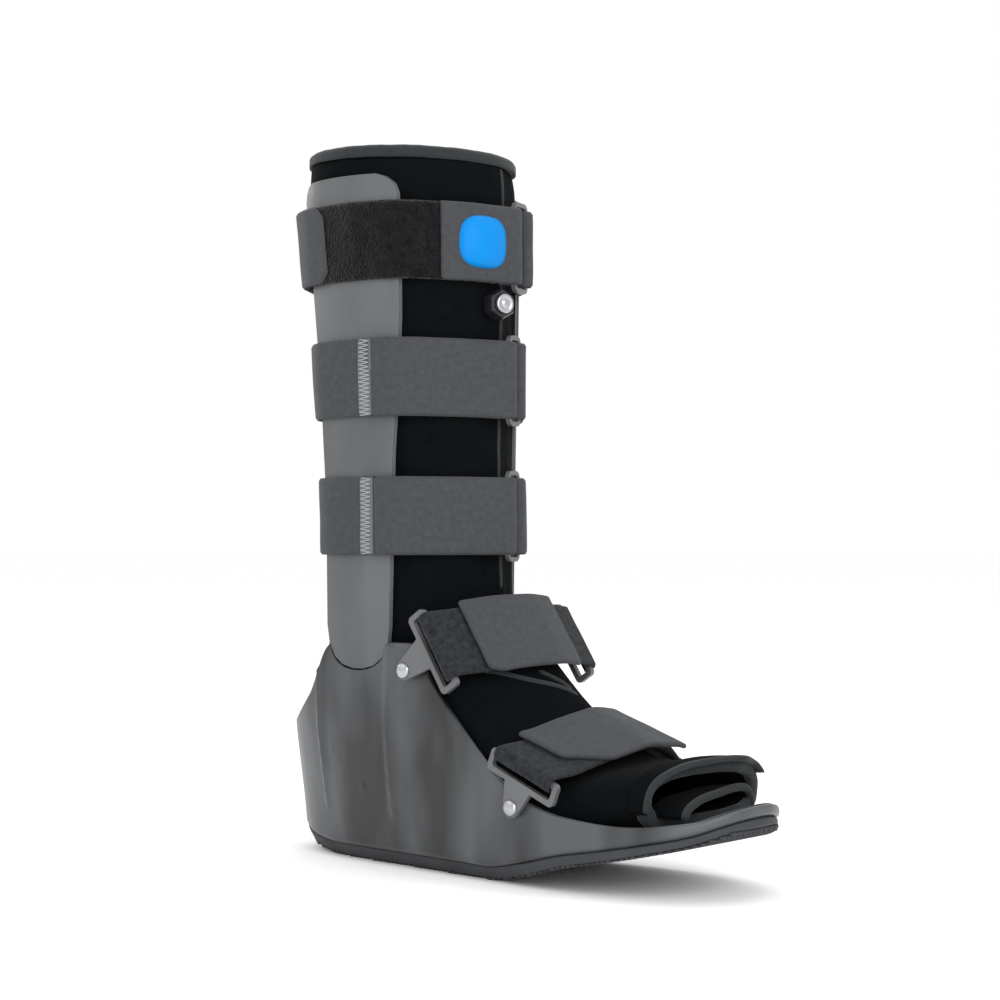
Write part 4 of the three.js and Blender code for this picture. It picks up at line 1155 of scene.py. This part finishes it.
def spread_of(node, axis):
    """A node's middle on an axis, its lowest and highest distance along it, and its greatest radius."""
    axis = Vector(axis).normalized()
    corners = [v.co for v in nodes[node].data.vertices]
    low = Vector([min(co[k] for co in corners) for k in range(3)])
    high = Vector([max(co[k] for co in corners) for k in range(3)])
    middle = (low + high) / 2
    middle -= axis * middle.dot(axis)
    far = [co.dot(axis) for co in corners]
    radius = max((co - middle - axis * co.dot(axis)).length for co in corners)
    return middle, min(far), max(far), radius


def dome_profile(radius, low, high, shank):
    """A rivet: a straight shank with a domed head that has a fine edge."""
    head = high - 2.4 * MM
    rows = [(0.0, low), (shank, low), (shank, head), (radius * 0.96, head), (radius, head + 0.3 * MM)]
    for turn in np.linspace(0.25, 1, 9) * math.pi / 2:
        rows.append((radius * math.cos(turn), head + 0.3 * MM + (high - head - 0.3 * MM) * math.sin(turn)))
    rows[-1] = (0.0, high)
    return rows


for hand, out in (("right", -1), ("left", 1)):
    for place in ("ankle", "toe"):
        node = f"rivet_{place}_{hand}"
        middle, low, high, radius = spread_of(node, (0, out, 0))
        profile = dome_profile(radius, low, high, 2.5 * MM)
        dress(turned(node + "_steel", middle, (0, out, 0), profile, finishes["steel"]), BOOT, "steel", node)

valve_turn = math.radians(-17)
valve_out = (math.cos(valve_turn), math.sin(valve_turn), 0)
middle, low, high, radius = spread_of("valve_button", valve_out)
face = [(0.0, low), (radius, low), (radius, high - 0.7 * MM), (radius - 0.2 * MM, high - 0.2 * MM)]
face += [(radius - 0.8 * MM, high), (radius - 1.6 * MM, high), (radius - 2.0 * MM, high - 0.5 * MM)]
face += [(radius - 3.4 * MM, high - 0.5 * MM), (radius - 3.8 * MM, high - 0.1 * MM), (0.0, high - 0.1 * MM)]
button = turned("release_cap", middle, valve_out, face, finishes["steel"])
dress(button, BUTTON, "steel", "valve_button")
print("turned: 4 rivets and the valve's button, radius", round(radius * 1000, 2), "mm")


# %% The bulb
leg_bend = 0.16


def soft_dome(name, node, out_angle, squareness, material):
    """A dome over a node with a rounded square outline, bent round the leg."""
    out = Vector((math.cos(out_angle), math.sin(out_angle), 0))
    over = Vector((-out.y, out.x, 0))
    corners = [v.co for v in nodes[node].data.vertices]
    spans = [(min(co.dot(a) for co in corners), max(co.dot(a) for co in corners)) for a in (over, out)]
    heights = (min(co.z for co in corners), max(co.z for co in corners))
    wide, tall = (spans[0][1] - spans[0][0]) / 2, (heights[1] - heights[0]) / 2
    centre = over * (sum(spans[0]) / 2) + Vector((0, 0, sum(heights) / 2))
    rise = 6.2 * MM
    base = spans[1][1] - rise
    rings, steps = 18, 72
    points = [tuple(centre + out * (base + rise))]
    faces = []
    for r in range(1, rings + 2):
        share = min(r / rings, 1)
        for k in range(steps):
            turn = 2 * math.pi * k / steps
            c, s = math.cos(turn), math.sin(turn)
            reach = (abs(c) ** squareness + abs(s) ** squareness) ** (-1 / squareness)
            a, b = share * reach * c * wide, share * reach * s * tall
            lift = rise * (1 - share**2.4) ** 0.62 if r <= rings else -3 * MM
            depth = base + lift - a * a / leg_bend
            points.append(tuple(centre + over * a + Vector((0, 0, b)) + out * depth))
    for k in range(steps):
        j = (k + 1) % steps
        faces.append((0, 1 + k, 1 + j))
        for r in range(rings):
            inner = 1 + r * steps
            outer = inner + steps
            faces.append((inner + k, outer + k, outer + j, inner + j))
    faces.append(tuple(1 + rings * steps + k for k in range(steps)))
    return new_piece(name, points, faces, material)


bulb = dress(
    soft_dome("pump_bulb", "bulb", math.radians(-9.5), 2.9, finishes["bulb"]), BOOT, "bulb", "bulb"
)
print("bulb:", len(bulb.data.polygons), "faces")

# %% [markdown]
# ## Foot pads
#
# A pad is a flat cushion over its webbing. It is drawn like a strap but thicker, and crowned. The toe
# pad's near end is cut slanting at the front, and its far end runs on past the webbing.

# %% Pads
pad_thickness = 3 * MM


def lay_pad(node, name, lean, crown, near_share, slant, far_reach):
    """A crowned pad whose front edge is drawn in towards its near end."""
    across = (math.cos(lean), 0, math.sin(lean))
    low, high = strap_lines(node, across, pad_thickness, strap_step)
    if low[0][1] > low[-1][1]:
        low, high = low[::-1], high[::-1]
    if (high - low).mean(axis=0)[0] < 0:
        low, high = high, low
    if far_reach:
        steps = np.arange(1, int(far_reach / strap_step) + 1)[:, None]
        bend = np.array([0, 0, -0.05 * MM]) * steps**2
        low = np.vstack([low, low[-1] + (low[-1] - low[-3]) / 2 * steps + bend])
        high = np.vstack([high, high[-1] + (high[-1] - high[-3]) / 2 * steps + bend])
    far = np.arange(len(low)) * strap_step
    t = np.clip(far / slant, 0, 1)
    share = near_share + (1 - near_share) * t * t * (3 - 2 * t)
    high = low + (high - low) * share[:, None]
    piece = ribbon(
        name, low, high, pad_thickness, finishes["strap"],
        clip=(2 * MM, 2 * MM), crown=crown, wave=0.0004, columns=30,
    )
    dress(piece, BOOT, "strap", node)
    return piece


lay_pad("pad_ankle", "ankle_pad", foot_lean, 1.2 * MM, 0.94, 12 * MM, 0)
lay_pad("pad_toe", "toe_pad", toe_lean, 1.0 * MM, 0.68, 26 * MM, 11 * MM)
print("pads: 2")

# %% [markdown]
# ## The padded liner
#
# The liner is one fleece sleeve with air in it, so it swells wherever nothing holds it. Its solids
# are joined and remeshed at an even size. Points near a strap, an upright or the shell are held, and a
# cloth simulation with a little pressure fills the rest. How far a point may move is capped, so that
# the sleeve stays within the room that it has.

# %% Joining the liner
LINER = ("liner_leg", "liner_foot", "liner_toe")
voxel = 4.5 * MM
air_pressure = 4.0
most_swell = 2.6 * MM
air_frames = 20
rim_hold = 0.424
rim_fade = 0.006
toe_hold = 0.128
toe_fade = 0.008


def joined_copy(name, sources, material):
    """One object with copies of several CAD nodes."""
    work = bmesh.new()
    for node in sources:
        work.from_mesh(nodes[node].data)
    bmesh.ops.remove_doubles(work, verts=work.verts, dist=1e-5)
    mesh = bpy.data.meshes.new(name)
    work.to_mesh(mesh)
    work.free()
    mesh.materials.append(material)
    piece = bpy.data.objects.new(name, mesh)
    scene.collection.objects.link(piece)
    return piece


def even_mesh(piece, size, turns):
    """An evenly spaced skin over a piece, with the steps of its grid smoothed away."""
    skin = piece.modifiers.new("even", "REMESH")
    skin.mode = "VOXEL"
    skin.voxel_size = size
    ease = piece.modifiers.new("ease", "SMOOTH")
    ease.factor = 0.5
    ease.iterations = turns
    return bake_modifiers(piece)


liner = even_mesh(joined_copy("padded_liner", LINER, finishes["liner"]), voxel, 5)
print("liner:", len(liner.data.vertices), "points")

# %% What holds the liner
others = bmesh.new()
for node, solid in nodes.items():
    if node not in LINER and node != "top_binding":
        others.from_mesh(solid.data)
neighbours = BVHTree.FromBMesh(others)
others.free()


def held_share(point):
    """1 close to a strap or a hard piece, 0 well away from them all."""
    reach = neighbours.find_nearest(point, 0.02)[3]
    if reach is None:
        return 0.0
    t = min(max((12 * MM - reach) / (8 * MM), 0), 1)
    return t * t * (3 - 2 * t)


rest = np.array([v.co for v in liner.data.vertices])
held = np.array([held_share(Vector(p)) for p in rest])
held = np.maximum(held, np.clip((rest[:, 2] - rim_hold) / rim_fade, 0, 1))
held = np.maximum(held, np.clip((rest[:, 0] - toe_hold) / toe_fade, 0, 1))
print("held points:", int((held > 0.99).sum()))

# %% Air in the liner
group = liner.vertex_groups.new(name="held")
for index, share in enumerate(held):
    group.add([index], float(share), "REPLACE")
air = liner.modifiers.new("air", "CLOTH")
air.settings.quality = 5
air.settings.mass = 0.3
air.settings.tension_stiffness = 10.0
air.settings.compression_stiffness = 10.0
air.settings.bending_stiffness = 0.3
air.settings.use_pressure = True
air.settings.uniform_pressure_force = air_pressure
air.settings.vertex_group_mass = "held"
air.settings.effector_weights.gravity = 0.0
air.collision_settings.use_collision = False
air.point_cache.frame_start = 1
air.point_cache.frame_end = air_frames
for step in range(1, air_frames + 1):
    scene.frame_set(step)
bake_modifiers(liner)
scene.frame_set(1)
liner.vertex_groups.clear()
swollen = np.array([v.co for v in liner.data.vertices])
move = (swollen - rest) * (1 - held)[:, None]
far = np.linalg.norm(move, axis=1)
print("air moved a point at most", round(float(far.max()) * 1000, 2), "mm before the cap")
move *= (most_swell * np.tanh(far / most_swell) / np.maximum(far, 1e-9))[:, None]
liner.data.vertices.foreach_set("co", (rest + move).ravel())
liner.data.update()


# %% Creases and the finished skin
def crease(point):
    """Small uneven wrinkles that run mostly round the leg."""
    wide = Vector((point[0] * 26, point[1] * 26, point[2] * 60))
    fine = Vector((point[0] * 70, point[1] * 70, point[2] * 120))
    return 0.55 * MM * noise.noise(wide) + 0.22 * MM * noise.noise(fine)


skin = np.array([v.co for v in liner.data.vertices])
normals = np.array([v.normal for v in liner.data.vertices])
creases = np.array([crease(p) for p in skin]) * (1 - 0.6 * held)
liner.data.vertices.foreach_set("co", (skin + normals * creases[:, None]).ravel())
liner.data.update()
subdivide = liner.modifiers.new("smooth", "SUBSURF")
subdivide.levels = 1
subdivide.render_levels = 1
bake_modifiers(liner)
liner.data.shade_smooth()
dress(liner, BOOT, "liner", *LINER)
print("finished liner:", len(liner.data.polygons), "faces")

# %% [markdown]
# ## Bound edges
#
# The liner's top rim and its toe opening are bound with tape. The tape is folded over the edge, so it
# is a rounded strip that follows the inner and outer line of the wall's end.


# %% The tape round an open end
def end_loops(node, out, beyond, step):
    """The inner and outer line round a node's open end."""
    out = Vector(out).normalized()
    work = bmesh.new()
    work.from_mesh(nodes[node].data)
    bmesh.ops.remove_doubles(work, verts=work.verts, dist=1e-5)
    work.normal_update()
    ends = {
        face for face in work.faces
        if face.normal.dot(out) > 0.8 and face.calc_center_median().dot(out) > beyond
    }
    links = {}
    for edge in work.edges:
        if sum(face in ends for face in edge.link_faces) == 1:
            a, b = edge.verts
            links.setdefault(a, []).append(b)
            links.setdefault(b, []).append(a)
    loops, seen = [], set()
    for start in links:
        if start in seen:
            continue
        loop, here = [start], start
        seen.add(start)
        while True:
            onward = [v for v in links[here] if v not in seen]
            if not onward:
                break
            here = onward[0]
            seen.add(here)
            loop.append(here)
        loops.append(np.array([tuple(v.co) for v in loop]))
    work.free()
    spans = [np.linalg.norm(np.diff(loop, axis=0), axis=1).sum() for loop in loops]
    order = np.argsort(spans)[::-1]
    outer, inner = loops[order[0]], loops[order[1]]
    outer = smooth_line(np.vstack([outer, outer[:1]]), step)[:-1]
    inner = resample(smooth_line(np.vstack([inner, inner[:1]]), step), len(outer) + 1)[:-1]
    if sum(np.cross(outer[k - 1], outer[k]) @ np.array(out) for k in range(len(outer))) < 0:
        outer = outer[::-1]
    if sum(np.cross(inner[k - 1], inner[k]) @ np.array(out) for k in range(len(inner))) < 0:
        inner = inner[::-1]
    misses = [
        np.linalg.norm(np.roll(inner, -k, axis=0) - outer, axis=1).sum()
        for k in range(len(inner))
    ]
    return np.roll(inner, -misses.index(min(misses)), axis=0), outer


def bound_edge(name, inner, outer, out, depth, swell, material):
    """A tape folded over the end of a wall."""
    out = np.array(Vector(out).normalized())
    profile = [(0, -depth), (0, -0.7 * depth), (0, -0.35 * depth)]
    profile += [(0.5 - 0.5 * math.cos(t), -0.35 * depth + 0.35 * depth * math.sin(t))
                for t in np.linspace(0.35, math.pi - 0.35, 7)]
    profile += [(1, -0.35 * depth), (1, -0.7 * depth), (1, -depth), (0.7, -0.9 * depth), (0.3, -0.9 * depth)]
    points = []
    for k in range(len(outer)):
        wall = outer[k] - inner[k]
        wide = np.linalg.norm(wall)
        pucker = 0.35 * MM * noise.noise(Vector(outer[k]) * 150.0)
        for share, far in profile:
            side = (share - 0.5) * 2
            grow = side * (swell + pucker * (1 if side > 0 else 0.5))
            points.append(inner[k] + wall * (share + grow / wide) + out * (far + swell + pucker))
    return new_piece(name, points, ring_faces(len(outer), len(profile), True), material)


rim_inner, rim_outer = end_loops("top_binding", (0, 0, 1), 0.42, 2.5 * MM)
rim_tape = bound_edge(
    "rim_tape", rim_inner, rim_outer, (0, 0, 1), 7 * MM, 0.15 * MM, finishes["binding"]
)
dress(rim_tape, BOOT, "binding", "top_binding")
print("rim tape:", len(rim_tape.data.polygons), "faces")

# %% [markdown]
# The toe opening is bound the same way. Inside it the liner is folded over itself, so a second, thinner
# lobe shows between the upper and the lower edge.

# %% The toe opening
toe_out = (1.0, 0.0, 0.12)
toe_inner, toe_outer = end_loops("liner_toe", toe_out, 0.1, 2.5 * MM)
toe_tape = bound_edge(
    "toe_tape", toe_inner, toe_outer, toe_out, 5 * MM, 0.4 * MM, finishes["binding"]
)
dress(toe_tape, BOOT, "binding")
opening = np.array([toe_inner.min(axis=0), toe_inner.max(axis=0)])
print("toe opening:", np.round(opening[1] - opening[0], 3))


# Shares across the opening, and up it
fold_rows = [
    (0.03, 0.02), (0.09, 0.24), (0.25, 0.42), (0.5, 0.52),
    (0.78, 0.58), (0.92, 0.52), (0.975, 0.34), (0.98, 0.1),
]


def fold_line(x, fall):
    """A line across the opening: low at the near side, and turned down at the far end."""
    low, high = opening[0], opening[1]
    size = high - low
    line = [(x, low[1] + size[1] * across, low[2] + size[2] * up - fall * up) for across, up in fold_rows]
    return smooth_line(line, 2 * MM)


fold = ribbon(
    "toe_fold", *matched(fold_line(opening[1][0] - 26 * MM, 5 * MM), fold_line(opening[1][0] - 1 * MM, 0)),
    3.6 * MM, finishes["liner"], crown=0.6 * MM, wave=0.0006,
)
dress(fold, BOOT, "liner")
fold_tape = ribbon(
    "toe_fold_tape", fold_line(opening[1][0] - 4 * MM, 0), fold_line(opening[1][0] + 0.5 * MM, 0),
    4.6 * MM, finishes["binding"], wave=0.0003, columns=10,
)
dress(fold_tape, BOOT, "binding")

# %% The near flap over the toe opening
middle = toe_outer.mean(axis=0)
turns = np.arctan2(toe_outer[:, 2] - middle[2], (toe_outer[:, 1] - middle[1]) * 0.5)
turns = np.where(turns < -math.pi / 2, turns + 2 * math.pi, turns)
order = np.argsort(-turns)
path = np.array([toe_outer[k] for k in order if 0.3 < turns[k] < 3.6])
path = smooth_line(path[::3], 2 * MM)
share = np.linspace(0, 1, len(path))
outward = (path - middle) * np.array([0, 1, 1])
outward /= np.linalg.norm(outward, axis=1)[:, None]
reach = np.interp(share, [0, 0.25, 0.6, 0.9, 1.0], [3, 9, 7, 3, 5])[:, None] * MM
ahead = np.array([[1.0, 0.0, 0.1]])
flap_back = path + outward * 0.6 * MM - ahead * 9 * MM
flap_front = path - outward * 0.4 * MM + ahead * reach
flap = ribbon("toe_flap", flap_back, flap_front, 2.6 * MM, finishes["liner"], crown=0.0, wave=0.0004)
dress(flap, BOOT, "liner")
flap_tape = ribbon(
    "toe_flap_tape", flap_front - ahead * 4 * MM, flap_front + ahead * 0.5 * MM, 3.4 * MM,
    finishes["binding"], wave=0.0003, columns=10,
)
dress(flap_tape, BOOT, "binding")
print("near flap:", len(path), "points round the opening")

# %% [markdown]
# ## Seams and flaps
#
# The liner closes with flaps. Their free edges are bound with a narrow tape that lies on the liner, so
# it is drawn as a soft cord pressed onto the surface: rays find the surface and the cord follows it.


# %% Cords laid on a surface
def laid_cord(name, starts, towards, surface, width, height, material):
    """A rounded strip where rays from the starts meet a surface."""
    hits = []
    for start, way in zip(starts, towards):
        place, normal, _, _ = surface.ray_cast(Vector(start), Vector(way).normalized())
        if place is not None:
            hits.append((np.array(place), np.array(normal)))
    line = smooth_line([p for p, _ in hits], 1.6 * MM)
    lifts = resample(np.array([n for _, n in hits]), len(line))
    along = np.gradient(line, axis=0)
    along /= np.linalg.norm(along, axis=1)[:, None]
    side = np.cross(along, lifts)
    side /= np.linalg.norm(side, axis=1)[:, None]
    out = np.cross(side, along)
    points, faces = [], []
    turns = 10
    for k in range(len(line)):
        end = math.sqrt(max(1 - max(1 - min(k, len(line) - 1 - k) / 2, 0) ** 2, 0.02))
        for t in range(turns):
            turn = 2 * math.pi * t / turns
            wide = math.cos(turn) * width / 2 * end
            tall = math.sin(turn) * height * end
            points.append(line[k] + side[k] * wide + out[k] * (tall + 0.15 * height))
    for k in range(len(line) - 1):
        for t in range(turns):
            u = (t + 1) % turns
            faces.append((k * turns + t, k * turns + u, (k + 1) * turns + u, (k + 1) * turns + t))
    faces.append(tuple(range(turns)))
    faces.append(tuple(range((len(line) - 1) * turns, len(line) * turns)))
    return new_piece(name, points, faces, material)


leg_middle = -81.5 * MM
ray_start = 0.2
above_instep = 0.3
liner_skin = surface_of(liner)
flap_turn = math.radians(11)
flap_z = np.linspace(0.166, 0.424, 60)
flap_edge = laid_cord(
    "leg_flap_edge",
    [(leg_middle + ray_start * math.cos(flap_turn), ray_start * math.sin(flap_turn), z) for z in flap_z],
    [(-math.cos(flap_turn), -math.sin(flap_turn), 0)] * len(flap_z),
    liner_skin, 2.8 * MM, 0.8 * MM, finishes["binding"],
)
dress(flap_edge, BOOT, "binding")
# Places on the instep seen from above, in metres along and across the boot
instep_rows = [(-0.002, -0.034), (0.005, -0.022), (0.0105, -0.006), (0.0145, 0.012), (0.0185, 0.03)]
tongue_rows = [(0.0075, 0.006), (0.0105, 0.014), (0.013, 0.021), (0.016, 0.028)]
for name, row in (("instep_flap_edge", instep_rows), ("tongue_edge", tongue_rows)):
    line = smooth_line([(x, y, above_instep) for x, y in row], 2 * MM)
    cord = laid_cord(
        name, line, [(0, 0, -1)] * len(line), liner_skin, 3.4 * MM, 0.8 * MM, finishes["binding"]
    )
    dress(cord, BOOT, "binding")
print("flap edges: 3")

# %% [markdown]
# Each of the two lower leg straps carries a pale reinforcing strip where its lap ends. The strip is
# sewn down with a close zigzag. The thread is laid by the row tree: each straight part of the zigzag
# is a short line of its own, so one thread falls on it and takes its direction.

# %% Strips and stitches
thread_finish = make_finish("strap", "fleece", {"Roughness": 0.8}, (2.0, 3.2), 0.3)
strip_finish = make_finish("strap", "fleece", {"Roughness": 0.85}, (0.8, 1.3), 0.3)


def patch_on(name, surface, turns, heights, lift, material):
    """A thin patch on the outside of a strap, between two angles round the leg and two heights."""
    columns, rows = 9, 24
    points = []
    for z in np.linspace(*heights, rows):
        for turn in np.linspace(*turns, columns):
            way = Vector((-math.cos(turn), -math.sin(turn), 0))
            start = Vector((leg_middle, 0, z)) - way * ray_start
            place = surface.ray_cast(start, way)[0]
            edge = min(abs(turn - turns[0]), abs(turn - turns[1])) * 0.07
            tuck = lift * min(edge / (0.5 * MM), 1.0) - 0.3 * MM * (edge < 1e-5)
            points.append(np.array(place) - np.array(way) * tuck)
    faces = []
    for r in range(rows - 1):
        for c in range(columns - 1):
            a = r * columns + c
            faces.append((a, a + 1, a + columns + 1, a + columns))
    return new_piece(name, points, faces, material), np.array(points).reshape(rows, columns, 3)


strap_nodes = {name: bpy.data.objects[name] for name in ("leg_strap_low", "leg_strap_mid")}
for name, band in strap_nodes.items():
    heights = [v.co.z for v in band.data.vertices]
    low, high = min(heights) + 0.6 * MM, max(heights) - 0.6 * MM
    band_skin = surface_of(band)
    turns = (math.radians(-84.0), math.radians(-74.0))
    strip, grid = patch_on(name + "_strip", band_skin, turns, (low, high), 0.9 * MM, strip_finish)
    dress(strip, BOOT, "strap")
    left = smooth_line(grid[:, 1], 0.2 * MM)
    right = resample(grid[:, -2], len(left))
    pitch = 1.25 * MM
    count = int((high - low) / pitch)
    rungs = []
    for k in range(count):
        a = (left, right)[k % 2][int(k / count * (len(left) - 1))]
        b = (right, left)[k % 2][int((k + 1) / count * (len(left) - 1))]
        out = Vector((a[0] - leg_middle, a[1], 0)).normalized() * 0.3 * MM
        middle = (a + b) / 2 + np.array(out)
        rungs.append([middle, middle + (b - a) * 0.01])
    length = float(np.mean([np.linalg.norm(b - a) * 100 for a, b in rungs]))
    stitches = row_of(
        name + "_stitches", rungs, thread_shape, thread_finish,
        spacing=1 * MM, scale=(0.8 * MM, 0.8 * MM, length * 1.05), seed=4,
    )
    dress(stitches, BOOT, "strap")
    print(name, "has", count, "stitches of", round(length * 1000, 1), "mm")
